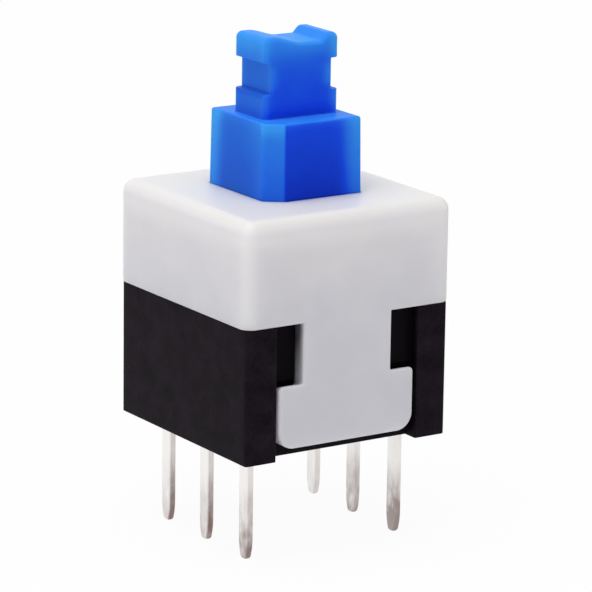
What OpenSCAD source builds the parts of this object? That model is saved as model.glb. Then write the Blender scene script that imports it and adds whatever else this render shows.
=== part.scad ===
// Self-locking push switch with six pins, for a printed circuit board.
// Lengths are in millimetres. Z = 0 is the board's surface and +Z runs up the plunger.
// The two rows of pins stand at -X and +X. The snap tongues are on the -Y and +Y faces.
// The plunger is drawn released, with the lock pin at the start of its cam groove.

/* [Base] */
// width of the base, across its two rows of pins
base_w = 8; // [7.2:0.1:9.6]
// depth of the base, from one snap tongue to the other
base_d = 8; // [7.8:0.1:9.6]
// height of the base from the board to its rim
base_h = 4.65; // [3.9:0.05:5.6]
// thickness of the floor that holds the pins
floor_t = 0.8; // [0.6:0.05:1]
// rounding of the base's upright edges
base_edge_r = 0.12; // [0.05:0.01:0.3]
// thickness of the rim lip that locates the cover
lip_t = 0.3; // [0.2:0.02:0.4]
// height of the rim lip above the rim
lip_h = 0.5; // [0.2:0.05:0.8]
// gap between the lip and the cover
lip_gap = 0.05; // [0.02:0.01:0.1]

/* [Cover] */
// height of the cover above the base's rim
cover_h = 3.6; // [3:0.05:4.4]
// how far the cover stands out past the base on each side
cover_step = 0.1; // [0.02:0.01:0.12]
// thickness of the cover's top
cover_top_t = 1; // [0.7:0.05:1.2]
// rounding of the cover's upright and top edges
cover_edge_r = 0.45; // [0.2:0.05:0.6]

/* [Snap tongues] */
// width of a tongue's neck
neck_w = 3.5; // [2.8:0.1:4.2]
// width of a tongue's foot
foot_w = 5.2; // [4.6:0.1:5.3]
// height of a tongue's foot
foot_h = 2.2; // [1.6:0.1:2.8]
// height of the foot's lower edge above the board
foot_z = 0.4; // [0.2:0.05:0.8]
// rounding of the foot's lower corners
foot_r = 0.6; // [0.2:0.05:0.8]
// rounding of the foot's shoulders
shoulder_r = 0.18; // [0.05:0.01:0.3]
// thickness of a tongue
tongue_t = 0.65; // [0.45:0.05:0.65]
// width of the base's channel for a tongue
channel_w = 5.6; // [5.4:0.1:6.4]
// depth of the base's channel
channel_depth = 0.62; // [0.5:0.02:0.62]
// depth of the catch ears behind the base's face
ear_recess = 0.36; // [0.3:0.02:0.5]
// gap around a tongue's neck and above its shoulders
tongue_gap = 0.05; // [0.02:0.01:0.1]

/* [Plunger] */
// width of the plunger's block, across the pin rows
block_w = 3.65; // [3.2:0.05:4.6]
// depth of the plunger's block
block_d = 3.85; // [3.7:0.05:4.5]
// size of the block's one cut corner, which keys it in the cover
block_chamfer = 0.55; // [0.3:0.05:0.6]
// height of the block above the cover when released
block_rise = 2.6; // [2.2:0.05:3.2]
// width of the stem
stem_w = 2.9; // [2.6:0.05:3.4]
// depth of the stem
stem_d = 1.95; // [1.7:0.05:2.6]
// chamfer of the stem's upright edges
stem_chamfer = 0.1; // [0.06:0.02:0.3]
// height of the collar under the stem's snap notches
collar_h = 0.83; // [0.6:0.05:1.2]
// height of the snap notches
notch_h = 1.07; // [0.8:0.05:1.4]
// depth of a snap notch
notch_depth = 0.27; // [0.15:0.01:0.35]
// height of the head above the notches
head_h = 0.85; // [0.6:0.05:1.1]
// width of the trough across the head
trough_w = 2.1; // [1.4:0.05:2.2]
// depth of the trough across the head
trough_depth = 0.25; // [0.1:0.01:0.35]
// distance of the trough's middle from the stem's axis
trough_shift = 0.08; // [0:0.02:0.2]
// full travel of the plunger
travel = 2.5; // [2:0.05:3]
// gap left under the plunger at full travel
stop_gap = 0.1; // [0.05:0.01:0.2]
// gap between the block and the cover's hole on each side
slide_gap = 0.1; // [0.04:0.01:0.15]
// length of the two ears that keep the plunger in the cover
keeper_l = 3; // [2:0.1:3.2]
// height of the two ears
keeper_h = 1; // [0.6:0.05:1.2]
// gap between the ears and the cover's top
keeper_gap = 0.05; // [0.02:0.01:0.1]
// gap between the ears and the terminals
keeper_side_gap = 0.12; // [0.06:0.01:0.2]

/* [Heart cam and lock pin] */
// diameter of the lock pin's wire
wire_d = 0.4; // [0.32:0.02:0.48]
// bend radius of the wire's centre line
wire_bend_r = 0.3; // [0.24:0.02:0.36]
// height of the pivot above the floor
pivot_rise = 0.5; // [0.4:0.05:0.8]
// radial gap of the wire in its pivot hole
pivot_gap = 0.03; // [0.02:0.01:0.08]
// height of the wire's tip above the plunger's lower edge when released
tip_rise = 0.8; // [0.6:0.05:1]
// gap between the plunger and the wire's arm
arm_gap = 0.2; // [0.1:0.01:0.24]
// gap between the wire's arm and the base's back wall
arm_wall_gap = 0.15; // [0.08:0.01:0.2]
// gap on each side of the wire in its groove
lane_gap = 0.06; // [0.04:0.01:0.08]
// depth of the groove in the press lane
cam_depth = 0.4; // [0.3:0.02:0.46]
// drop of the groove's floor at each of its two one-way steps
cam_step = 0.1; // [0.05:0.01:0.12]
// gap between the wire's tip and the groove's floor
tip_gap = 0.04; // [0.02:0.01:0.08]
// sideways run of the press lane over the full travel
press_run = 0.3; // [0.2:0.02:0.36]
// travel at which the plunger stays locked
lock_travel = 1.8; // [1.5:0.05:2]
// sideways distance of the lock notch from the start
lock_offset = 0.45; // [0.4:0.01:0.5]
// sideways distance of the return lane from the start
return_offset = 1.05; // [0.95:0.01:1.1]

/* [Return spring] */
// outer diameter of the spring
spring_od = 2.1; // [1.8:0.05:2.2]
// diameter of the spring's wire
spring_wire_d = 0.25; // [0.2:0.01:0.3]
// number of turns
spring_turns = 8; // [6:1:10]
// gap around the spring in the plunger's pocket
pocket_gap = 0.15; // [0.1:0.01:0.2]
// depth of the pocket's end below the cover's upper face
pocket_end = 0.65; // [0.3:0.05:1]
// gap at the top end of the spring
spring_gap = 0.05; // [0.02:0.01:0.1]
// gap between the spring and the base's post
post_gap = 0.15; // [0.1:0.01:0.2]
// height of the base's spring post above the floor
post_h = 1.2; // [0.8:0.1:1.6]
// chamfer of the post's tip
post_chamfer = 0.2; // [0.1:0.02:0.3]

/* [Terminals] */
// distance between the two rows of pins
row_spacing = 6; // [5.6:0.1:6.4]
// distance between pins in a row
pin_pitch = 2.5; // [2:0.05:2.5]
// length of the pins below the board's surface
pin_l = 3.7; // [3:0.1:4.5]
// width of a pin
pin_w = 0.55; // [0.45:0.05:0.65]
// thickness of the terminals' sheet metal
pin_t = 0.25; // [0.2:0.01:0.3]
// width of a pin's tip
pin_tip_w = 0.24; // [0.15:0.01:0.4]
// length of a pin's tapered tip
pin_tip_l = 0.5; // [0.3:0.05:0.8]
// gap around a terminal in the base
pin_gap = 0.02; // [0.01:0.005:0.05]
// how far the terminals stand out of the base's side wall
pin_proud = 0.08; // [0.04:0.01:0.12]
// width of the shoulder that rests on the floor
pin_shoulder_w = 0.84; // [0.7:0.02:0.84]
// height of the shoulder that rests on the floor
pin_shoulder_h = 0.3; // [0.2:0.02:0.4]
// width of the common terminal's blade
common_w = 1.2; // [0.9:0.05:1.4]
// height of the contact flags
flag_h = 1.3; // [1:0.05:1.4]

/* [Contact clips] */
// thickness of the clips' spring sheet
clip_t = 0.15; // [0.1:0.01:0.18]
// width of a clip's plate
clip_w = 4; // [3.4:0.1:4]
// height of a clip's plate
clip_h = 1.2; // [1:0.05:1.4]
// width of a finger
finger_w = 0.6; // [0.4:0.05:0.7]
// height of the fingers' knuckles above the plunger's lower edge
knuckle_rise = 0.5; // [0.4:0.05:0.7]
// height of a clip's plate above the knuckles
finger_drop = 1; // [0.8:0.05:1.2]
// length of a finger's tip below its knuckle
finger_tip_l = 0.35; // [0.2:0.01:0.4]
// how far a finger's tip turns back from the terminal
finger_tip_back = 0.25; // [0.1:0.01:0.35]
// gap between a knuckle and its terminal
knuckle_gap = 0.05; // [0.02:0.01:0.08]
// gap between an outer finger and the pin beside it
finger_side_gap = 0.3; // [0.2:0.01:0.4]
// radius of the studs that hold a clip
stud_r = 0.3; // [0.2:0.01:0.35]
// radius of a stud's staked head
stud_head_r = 0.45; // [0.4:0.01:0.5]
// thickness of a stud's staked head
stud_head_t = 0.12; // [0.08:0.01:0.15]
// distance between a clip's two studs
stud_spacing = 2; // [1.6:0.05:2.2]
// gap between a clip and its studs
stud_gap = 0.01; // [0.005:0.005:0.03]

/* [Hidden] */
$fn = 48;
// overrun of every cut
cut = 0.3;
// steps round one turn of the spring
turn_steps = 20;
// sides of the spring's wire
wire_sides = 8;
// rise of one closed end turn, as a share of the wire's diameter
end_turn_share = 1.12;
// flat width left on the locking side of the upper cusp's lane, as shares of the lock notch's place
exit_run_share = 0.78;
exit_rise_share = 0.36;
// place of the return lane's two corners, as shares of the travel
return_top_share = 0.76;
return_low_share = 0.36;
// place and depth of the knee in the trough's floor, and place of the floor's end, as shares of the trough
knee_share = 0.39;
knee_depth_share = 0.82;
floor_end_share = 0.84;

// levels
rim_z = base_h;
top_z = base_h + cover_h;
ceiling_z = top_z - cover_top_t;
skirt_z = floor_t + stop_gap + travel;
block_top_z = top_z + block_rise;
stem_top_z = block_top_z + collar_h + notch_h + head_h;
keeper_top_z = ceiling_z - keeper_gap;
knuckle_z = skirt_z + knuckle_rise;
clip_z = knuckle_z + finger_drop;
keeper_low_z = max(keeper_top_z - keeper_h, clip_z + clip_h + keeper_gap);
pocket_top_z = top_z - pocket_end;
spring_top_z = pocket_top_z - spring_gap;
pivot_z = floor_t + pivot_rise;
tip_z = skirt_z + tip_rise;
ear_z = foot_z + foot_h + tongue_gap;

// places across the pin rows
row_x = row_spacing / 2;
blade_x = row_x - pin_t / 2;
wall_x = blade_x + pin_proud;
slot_x = row_x + pin_t / 2 + pin_gap;
keeper_x = blade_x - keeper_side_gap;
knuckle_x = blade_x - knuckle_gap;
face_x = block_w / 2;

// places from tongue to tongue
face_y = block_d / 2;
arm_y = face_y + arm_gap + wire_d / 2;
wall_y = max(arm_y + wire_d / 2 + arm_wall_gap, pin_pitch + pin_shoulder_w / 2 + pin_gap);
channel_y = base_d / 2 - channel_depth;
finger_y = pin_pitch - pin_w / 2 - finger_side_gap - finger_w / 2;
flag_inner_y = finger_y - finger_w / 2 - knuckle_gap;

// the cover's outside and inside
cover_w = base_w + 2 * cover_step;
cover_d = base_d + 2 * cover_step;
cover_in_x = wall_x + lip_t + lip_gap;
cover_in_y = wall_y + lip_t + lip_gap;
tongue_in = min(tongue_t, channel_depth + cover_step - tongue_gap);

// the cam groove, in the plunger's back face, from the wire's tip when released
lane_r = wire_d / 2 + lane_gap;
cam_start = [0, 0];
cam_top = [press_run, travel];
cam_lock = [-lock_offset, lock_travel];
cam_exit = [-lock_offset - exit_run_share * lock_offset, lock_travel + exit_rise_share * lock_travel];
cam_return = [-return_offset, return_top_share * travel];
cam_low = [-return_offset, return_low_share * travel];

// the spring's coil
spring_r = (spring_od - spring_wire_d) / 2;
spring_h = spring_top_z - floor_t;
end_pitch = end_turn_share * spring_wire_d;
coil_pitch = (spring_h - spring_wire_d - 2 * end_pitch) / (spring_turns - 2);

BLACK = [0.1, 0.09, 0.1];
WHITE = [0.87, 0.87, 0.89];
BLUE = [0.07, 0.28, 0.8];
TIN = [0.8, 0.79, 0.77];
BRONZE = [0.78, 0.58, 0.36];
STEEL = [0.68, 0.69, 0.72];

// a rectangle about the origin with round corners
module rounded_rect(w, d, r) {
    square([w - 2 * r, d], center = true);
    square([w, d - 2 * r], center = true);
    for (sx = [-1, 1], sy = [-1, 1])
        translate([sx * (w / 2 - r), sy * (d / 2 - r)])
            circle(r);
}

// a rectangle about the origin with its corners cut off
module chamfered_rect(w, d, c) {
    polygon([
        [-w / 2 + c, -d / 2], [w / 2 - c, -d / 2], [w / 2, -d / 2 + c], [w / 2, d / 2 - c],
        [w / 2 - c, d / 2], [-w / 2 + c, d / 2], [-w / 2, d / 2 - c], [-w / 2, -d / 2 + c]
    ]);
}

// a rectangle about the origin with one corner cut off, towards -X and -Y
module keyed_rect(w, d, c) {
    polygon([[c - w / 2, -d / 2], [w / 2, -d / 2], [w / 2, d / 2], [-w / 2, d / 2], [-w / 2, c - d / 2]]);
}

// a rectangle that stands on the X axis, with round upper corners
module arched_rect(w, h, r) {
    translate([-w / 2, 0])
        square([w, h - r]);
    translate([-w / 2 + r, 0])
        square([w - 2 * r, h]);
    for (s = [-1, 1])
        translate([s * (w / 2 - r), h - r])
            circle(r);
}

// a block with round upright and top edges
module soft_block(w, d, h, r) {
    rotate([90, 0, 0])
        linear_extrude(d - 2 * r, center = true)
            arched_rect(w, h, r);
    rotate([90, 0, 90])
        linear_extrude(w - 2 * r, center = true)
            arched_rect(d, h, r);
    for (sx = [-1, 1], sy = [-1, 1])
        translate([sx * (w / 2 - r), sy * (d / 2 - r), 0]) {
            cylinder(r = r, h = h - r);
            translate([0, 0, h - r])
                sphere(r);
        }
}

// turns a profile of X and Z into a solid of thickness t that grows towards +Y
module upright(t) {
    mirror([0, 1, 0])
        rotate([90, 0, 0])
            linear_extrude(t)
                children();
}

// a T-shaped tongue's outline, in X and Z
module tongue_outline() {
    lower_w = foot_w - 2 * foot_r;
    upper_w = foot_w - 2 * shoulder_r;
    translate([-neck_w / 2, foot_z + foot_h - shoulder_r])
        square([neck_w, rim_z + cover_edge_r - foot_z - foot_h + shoulder_r]);
    translate([-lower_w / 2, foot_z])
        square([lower_w, foot_h - shoulder_r]);
    translate([-upper_w / 2, foot_z + foot_r])
        square([upper_w, foot_h - foot_r]);
    translate([-foot_w / 2, foot_z + foot_r])
        square([foot_w, foot_h - foot_r - shoulder_r]);
    for (s = [-1, 1]) {
        translate([s * lower_w / 2, foot_z + foot_r])
            circle(foot_r);
        translate([s * upper_w / 2, foot_z + foot_h - shoulder_r])
            circle(shoulder_r);
    }
}

// the room that a tongue takes in the base's front face, with its neck between two ears
module tongue_room() {
    neck_room_w = neck_w + 2 * tongue_gap;
    translate([-channel_w / 2, -base_d / 2 - cut, -cut])
        cube([channel_w, channel_depth + cut, ear_z + cut]);
    translate([-neck_room_w / 2, -base_d / 2 - cut, 0])
        cube([neck_room_w, channel_depth + cut, rim_z + cut]);
    translate([-channel_w / 2, -base_d / 2 - cut, 0])
        cube([channel_w, ear_recess + cut, rim_z + cut]);
}

// the slot for a pin through the floor, and the pocket for its blade in the side wall, at +X
module terminal_room(y, inner_y, outer_y) {
    slot_w = pin_w + 2 * pin_gap;
    slot_t = pin_t + 2 * pin_gap;
    translate([slot_x - slot_t, y - slot_w / 2, -cut])
        cube([slot_t, slot_w, floor_t + 2 * cut]);
    translate([wall_x - cut, inner_y - pin_gap, floor_t])
        cube([slot_x - wall_x + cut, outer_y - inner_y + 2 * pin_gap, rim_z + lip_h]);
}

module base() {
    post_r = spring_od / 2 - spring_wire_d - post_gap;
    shoulder_y = pin_pitch + pin_shoulder_w / 2;
    color(BLACK) {
        difference() {
            union() {
                linear_extrude(rim_z)
                    rounded_rect(base_w, base_d, base_edge_r);
                translate([0, 0, (rim_z + lip_h) / 2])
                    cube([2 * (wall_x + lip_t), 2 * (wall_y + lip_t), rim_z + lip_h], center = true);
            }
            translate([-wall_x, -wall_y, floor_t])
                cube([2 * wall_x, 2 * wall_y, rim_z + lip_h]);
            for (s = [0, 1])
                mirror([0, s, 0])
                    tongue_room();
            for (s = [0, 1])
                mirror([s, 0, 0]) {
                    terminal_room(0, -common_w / 2, common_w / 2);
                    for (m = [0, 1])
                        mirror([0, m, 0])
                            terminal_room(pin_pitch, flag_inner_y, shoulder_y);
                }
            translate([0, wall_y - cut, pivot_z])
                rotate([-90, 0, 0])
                    cylinder(r = wire_d / 2 + pivot_gap, h = channel_y - wall_y + 2 * cut);
        }
        translate([0, 0, floor_t]) {
            cylinder(r = post_r, h = post_h - post_chamfer);
            translate([0, 0, post_h - post_chamfer])
                cylinder(r1 = post_r, r2 = post_r - post_chamfer, h = post_chamfer);
        }
    }
}

module cover() {
    hole_w = block_w + 2 * slide_gap;
    hole_d = block_d + 2 * slide_gap;
    color(WHITE)
        difference() {
            union() {
                translate([0, 0, rim_z])
                    soft_block(cover_w, cover_d, cover_h, cover_edge_r);
                for (s = [0, 1])
                    mirror([0, s, 0])
                        translate([0, -cover_d / 2, 0])
                            upright(tongue_in)
                                tongue_outline();
            }
            translate([-cover_in_x, -cover_in_y, rim_z - cut])
                cube([2 * cover_in_x, 2 * cover_in_y, ceiling_z - rim_z + cut]);
            translate([0, 0, ceiling_z - cut])
                linear_extrude(cover_top_t + 2 * cut)
                    keyed_rect(hole_w, hole_d, block_chamfer);
        }
}

// one straight stretch of the cam groove, from p to q
module lane(p, q) {
    run = q - p;
    translate(p)
        circle(lane_r);
    translate(q)
        circle(lane_r);
    translate(p)
        rotate(atan2(run[1], run[0]))
            translate([0, -lane_r])
                square([norm(run), 2 * lane_r]);
}

// cuts lanes into the plunger's back face, to a depth below it
module groove(depth) {
    translate([0, face_y - depth, tip_z])
        upright(depth + cut)
            children();
}

// the heart-shaped groove: press lane, lock notch, then the return lane, each a step deeper,
// and a ramp that lifts the wire's tip back to the start
module heart_cam() {
    exit_depth = cam_depth + 2 * cam_step;
    ramp = cam_start - cam_low;
    ramp_r = lane_r - lane_gap / 2;
    groove(cam_depth)
        lane(cam_start, cam_top);
    groove(cam_depth + cam_step)
        lane(cam_top, cam_lock);
    groove(exit_depth) {
        lane(cam_lock, cam_exit);
        lane(cam_exit, cam_return);
        lane(cam_return, cam_low);
    }
    translate([cam_low[0], face_y, tip_z + cam_low[1]])
        rotate([0, -atan2(ramp[1], ramp[0]), 0])
            translate([0, 0, -ramp_r])
                linear_extrude(2 * ramp_r)
                    polygon([[0, cut], [0, -exit_depth], [norm(ramp), -cam_depth], [norm(ramp), cut]]);
}

// the trough's outline in X and Z: a slow fall, a floor and a steep end
module trough_outline() {
    polygon([
        [0, cut], [0, 0], [knee_share * trough_w, -knee_depth_share * trough_depth],
        [floor_end_share * trough_w, -trough_depth], [trough_w, 0], [trough_w, cut]
    ]);
}

module stem() {
    difference() {
        translate([0, 0, block_top_z])
            linear_extrude(stem_top_z - block_top_z)
                chamfered_rect(stem_w, stem_d, stem_chamfer);
        for (s = [0, 1])
            mirror([s, 0, 0])
                translate([stem_w / 2 - notch_depth, -stem_d / 2 - cut, block_top_z + collar_h])
                    cube([notch_depth + cut, stem_d + 2 * cut, notch_h]);
        translate([trough_shift - trough_w / 2, -stem_d / 2 - cut, stem_top_z])
            upright(stem_d + 2 * cut)
                trough_outline();
    }
}

// the two studs that hold the clip on the plunger's +X face, with their staked heads
module clip_studs() {
    shank = clip_t + 2 * stud_gap;
    for (s = [-1, 1])
        translate([face_x, s * stud_spacing / 2, clip_z + clip_h / 2])
            rotate([0, 90, 0]) {
                cylinder(r = stud_r, h = shank);
                translate([0, 0, shank])
                    cylinder(r = stud_head_r, h = stud_head_t);
            }
}

module plunger() {
    pocket_r = spring_od / 2 + pocket_gap;
    color(BLUE) {
        difference() {
            union() {
                translate([0, 0, skirt_z])
                    linear_extrude(block_top_z - skirt_z)
                        keyed_rect(block_w, block_d, block_chamfer);
                translate([-keeper_x, -keeper_l / 2, keeper_low_z])
                    cube([2 * keeper_x, keeper_l, keeper_top_z - keeper_low_z]);
            }
            translate([0, 0, skirt_z - cut])
                cylinder(r = pocket_r, h = pocket_top_z - skirt_z + cut);
            heart_cam();
        }
        stem();
        for (s = [0, 1])
            mirror([s, 0, 0])
                clip_studs();
    }
}

function coil_z(t) =
    t < 1 ? end_pitch * t
    : t < spring_turns - 1 ? end_pitch + coil_pitch * (t - 1)
    : end_pitch + coil_pitch * (spring_turns - 2) + end_pitch * (t - spring_turns + 1);

function coil_point(i, j) =
    let (turn = i / turn_steps, side = 360 * j / wire_sides)
    let (r = spring_r + spring_wire_d / 2 * cos(side))
    [
        r * cos(360 * turn),
        r * sin(360 * turn),
        floor_t + spring_wire_d / 2 + coil_z(turn) + spring_wire_d / 2 * sin(side)
    ];

// a coil with closed end turns, as a ring of points at each step round it
module return_spring() {
    steps = spring_turns * turn_steps;
    points = [for (i = [0 : steps], j = [0 : wire_sides - 1]) coil_point(i, j)];
    first = [for (j = [0 : wire_sides - 1]) j];
    last = [for (j = [wire_sides - 1 : -1 : 0]) steps * wire_sides + j];
    sides = [
        for (i = [0 : steps - 1], j = [0 : wire_sides - 1])
            let (k = (j + 1) % wire_sides, a = i * wire_sides, b = a + wire_sides)
            [a + j, b + j, b + k, a + k]
    ];
    color(STEEL)
        polyhedron(points, concat([first, last], sides), convexity = spring_turns);
}

// a quarter bend of the wire in the Y-Z plane, from straight down to towards +Y
module wire_bend() {
    rotate([0, 90, 0])
        rotate_extrude(angle = 90)
            translate([wire_bend_r, 0])
                circle(wire_d / 2);
}

module lock_pin() {
    leg_end_y = channel_y - pivot_gap;
    tip_y = face_y - cam_depth + tip_gap;
    wire_r = wire_d / 2;
    color(STEEL) {
        translate([0, arm_y + wire_bend_r, pivot_z])
            rotate([-90, 0, 0])
                cylinder(r = wire_r, h = leg_end_y - arm_y - wire_bend_r);
        translate([0, arm_y + wire_bend_r, pivot_z + wire_bend_r])
            mirror([0, 1, 0])
                wire_bend();
        translate([0, arm_y, pivot_z + wire_bend_r])
            cylinder(r = wire_r, h = tip_z - pivot_z - 2 * wire_bend_r);
        translate([0, arm_y - wire_bend_r, tip_z - wire_bend_r])
            mirror([0, 0, 1])
                wire_bend();
        translate([0, tip_y, tip_z])
            rotate([-90, 0, 0])
                cylinder(r = wire_r, h = arm_y - wire_bend_r - tip_y);
    }
}

// a finger's bent strip, in distance out from the plunger's face and height
module finger_outline() {
    reach = knuckle_x - face_x;
    lean = atan2(reach - clip_t, finger_drop);
    strip = clip_t / cos(lean);
    tip = reach - finger_tip_back;
    polygon([
        [0, clip_z + clip_t], [clip_t, clip_z + clip_t], [clip_t, clip_z],
        [reach, knuckle_z], [tip, knuckle_z - finger_tip_l],
        [tip - strip, knuckle_z - finger_tip_l], [reach - strip, knuckle_z], [0, clip_z]
    ]);
}

// the clip on the plunger's +X face
module clip() {
    translate([face_x + stud_gap, 0, 0]) {
        difference() {
            translate([0, -clip_w / 2, clip_z])
                cube([clip_t, clip_w, clip_h]);
            for (s = [-1, 1])
                translate([-cut, s * stud_spacing / 2, clip_z + clip_h / 2])
                    rotate([0, 90, 0])
                        cylinder(r = stud_r + stud_gap, h = clip_t + 2 * cut);
        }
        for (y = [-finger_y, 0, finger_y])
            translate([-stud_gap, y - finger_w / 2, 0])
                upright(finger_w)
                    finger_outline();
    }
}

module contact_left() {
    color(BRONZE)
        mirror([1, 0, 0])
            clip();
}

module contact_right() {
    color(BRONZE)
        clip();
}

// a pin with its tapered tip and the shoulder that rests on the floor, in Y and Z
module pin_outline() {
    translate([-pin_w / 2, pin_tip_l - pin_l])
        square([pin_w, pin_l - pin_tip_l + floor_t]);
    polygon([
        [-pin_tip_w / 2, -pin_l], [pin_tip_w / 2, -pin_l],
        [pin_w / 2, pin_tip_l - pin_l], [-pin_w / 2, pin_tip_l - pin_l]
    ]);
    translate([-pin_shoulder_w / 2, floor_t])
        square([pin_shoulder_w, pin_shoulder_h]);
}

// turns an outline of Y and Z into a terminal's sheet in the +X row
module stamping() {
    translate([blade_x, 0, 0])
        rotate([90, 0, 90])
            linear_extrude(pin_t)
                children();
}

// the middle terminal, whose blade a finger touches all through the travel
module common_terminal() {
    stamping() {
        pin_outline();
        translate([-common_w / 2, floor_t])
            square([common_w, knuckle_z + flag_h / 2 - floor_t]);
    }
}

// an outer terminal at +Y, with its flag about the height z
module flag_terminal(z) {
    low_z = max(z - flag_h / 2, floor_t);
    stamping() {
        translate([pin_pitch, 0]) {
            pin_outline();
            translate([-pin_w / 2, floor_t])
                square([pin_w, z + flag_h / 2 - floor_t]);
        }
        translate([flag_inner_y, low_z])
            square([pin_pitch + pin_w / 2 - flag_inner_y, z + flag_h / 2 - low_z]);
    }
}

// closed while the plunger is up
module closed_terminal() {
    flag_terminal(knuckle_z);
}

// closed while the plunger is down, from its lock to its full travel
module open_terminal() {
    mirror([0, 1, 0])
        flag_terminal(knuckle_z - (lock_travel + travel) / 2);
}

module terminal_left_common() {
    color(TIN)
        mirror([1, 0, 0])
            common_terminal();
}

module terminal_left_closed() {
    color(TIN)
        mirror([1, 0, 0])
            closed_terminal();
}

module terminal_left_open() {
    color(TIN)
        mirror([1, 0, 0])
            open_terminal();
}

module terminal_right_common() {
    color(TIN)
        common_terminal();
}

module terminal_right_closed() {
    color(TIN)
        closed_terminal();
}

module terminal_right_open() {
    color(TIN)
        open_terminal();
}

base();
cover();
plunger();
return_spring();
lock_pin();
contact_left();
contact_right();
terminal_left_common();
terminal_left_closed();
terminal_left_open();
terminal_right_common();
terminal_right_closed();
terminal_right_open();
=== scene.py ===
"""Looks of a self-locking push switch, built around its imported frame. Sizes are in millimetres."""
import logging
import math
from dataclasses import dataclass, field
from enum import Enum
from typing import Any, Callable, Mapping, Sequence

import bpy
import numpy as np
from mathutils import Matrix, Vector


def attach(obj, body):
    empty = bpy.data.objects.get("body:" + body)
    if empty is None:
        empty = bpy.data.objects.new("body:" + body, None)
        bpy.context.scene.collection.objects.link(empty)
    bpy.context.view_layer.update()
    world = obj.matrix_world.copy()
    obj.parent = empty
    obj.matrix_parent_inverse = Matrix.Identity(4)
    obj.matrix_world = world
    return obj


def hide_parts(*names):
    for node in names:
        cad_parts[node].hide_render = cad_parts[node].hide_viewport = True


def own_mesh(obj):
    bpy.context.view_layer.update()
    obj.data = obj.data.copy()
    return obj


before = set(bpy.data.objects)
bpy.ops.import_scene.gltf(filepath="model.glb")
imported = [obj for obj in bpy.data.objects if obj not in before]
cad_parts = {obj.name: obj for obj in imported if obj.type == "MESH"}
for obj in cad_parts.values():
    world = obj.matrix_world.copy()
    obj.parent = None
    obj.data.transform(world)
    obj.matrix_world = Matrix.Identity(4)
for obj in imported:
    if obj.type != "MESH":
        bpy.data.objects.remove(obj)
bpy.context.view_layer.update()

Pair = tuple[float, float]
Shares = tuple[float, ...]
Colour = tuple[float, float, float, float]
Spec = tuple[float, float, float, float]

LOG = logging.getLogger("push_switch")
MM = 0.001
IMAGE_PX = 592
SENSOR_MM = 36.0
FAR = 100.0
TINY = 1e-6
NEAR = 0.01
LEAST_CUT = 0.02
SHARP_DEG = 34.0
EVEN_WEIGHT = 80


def operator(operation: str, flipped: bool = False) -> Callable[["Wire", Any], "Wire"]:
    """Makes a wire's method that adds one Math node for two values.

    Args:
        operation: name of the Math node's operation.
        flipped: whether the other value comes first.

    Returns:
        The method.
    """
    def apply(self: "Wire", other: Any) -> "Wire":
        """Adds the node."""
        return self.math(operation, *((other, self) if flipped else (self, other)))

    return apply


class Wire:
    """A node's output socket whose arithmetic adds Math nodes to its tree."""

    def __init__(self, kit: "NodeKit", socket: bpy.types.NodeSocket | None) -> None:
        self.kit = kit
        self.socket = socket

    def math(self, operation: str, *values: Any, clamp: bool = False) -> "Wire":
        """Adds one Math node.

        Args:
            operation: name of the Math node's operation.
            values: its inputs in order, wires or numbers.
            clamp: whether the result is kept between 0 and 1.

        Returns:
            The node's result.
        """
        settings = {"operation": operation, "use_clamp": clamp}
        return self.kit.add("ShaderNodeMath", settings, dict(enumerate(values)))

    __add__, __radd__ = operator("ADD"), operator("ADD", flipped=True)
    __sub__, __rsub__ = operator("SUBTRACT"), operator("SUBTRACT", flipped=True)
    __mul__, __rmul__ = operator("MULTIPLY"), operator("MULTIPLY", flipped=True)
    __truediv__, __pow__ = operator("DIVIDE"), operator("POWER")
    smaller, larger = operator("MINIMUM"), operator("MAXIMUM")

    def clamped(self) -> "Wire":
        """The value kept between 0 and 1."""
        return self.math("ADD", self, 0.0, clamp=True)

    def size(self) -> "Wire":
        """The value without its sign."""
        return self.math("ABSOLUTE", self)

    def ramp(self, start: float, slope: float) -> "Wire":
        """Climbs from 0 at the start to 1; with a slope below 0 it falls to 0 there."""
        return ((self - start) * slope).clamped()


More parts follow.
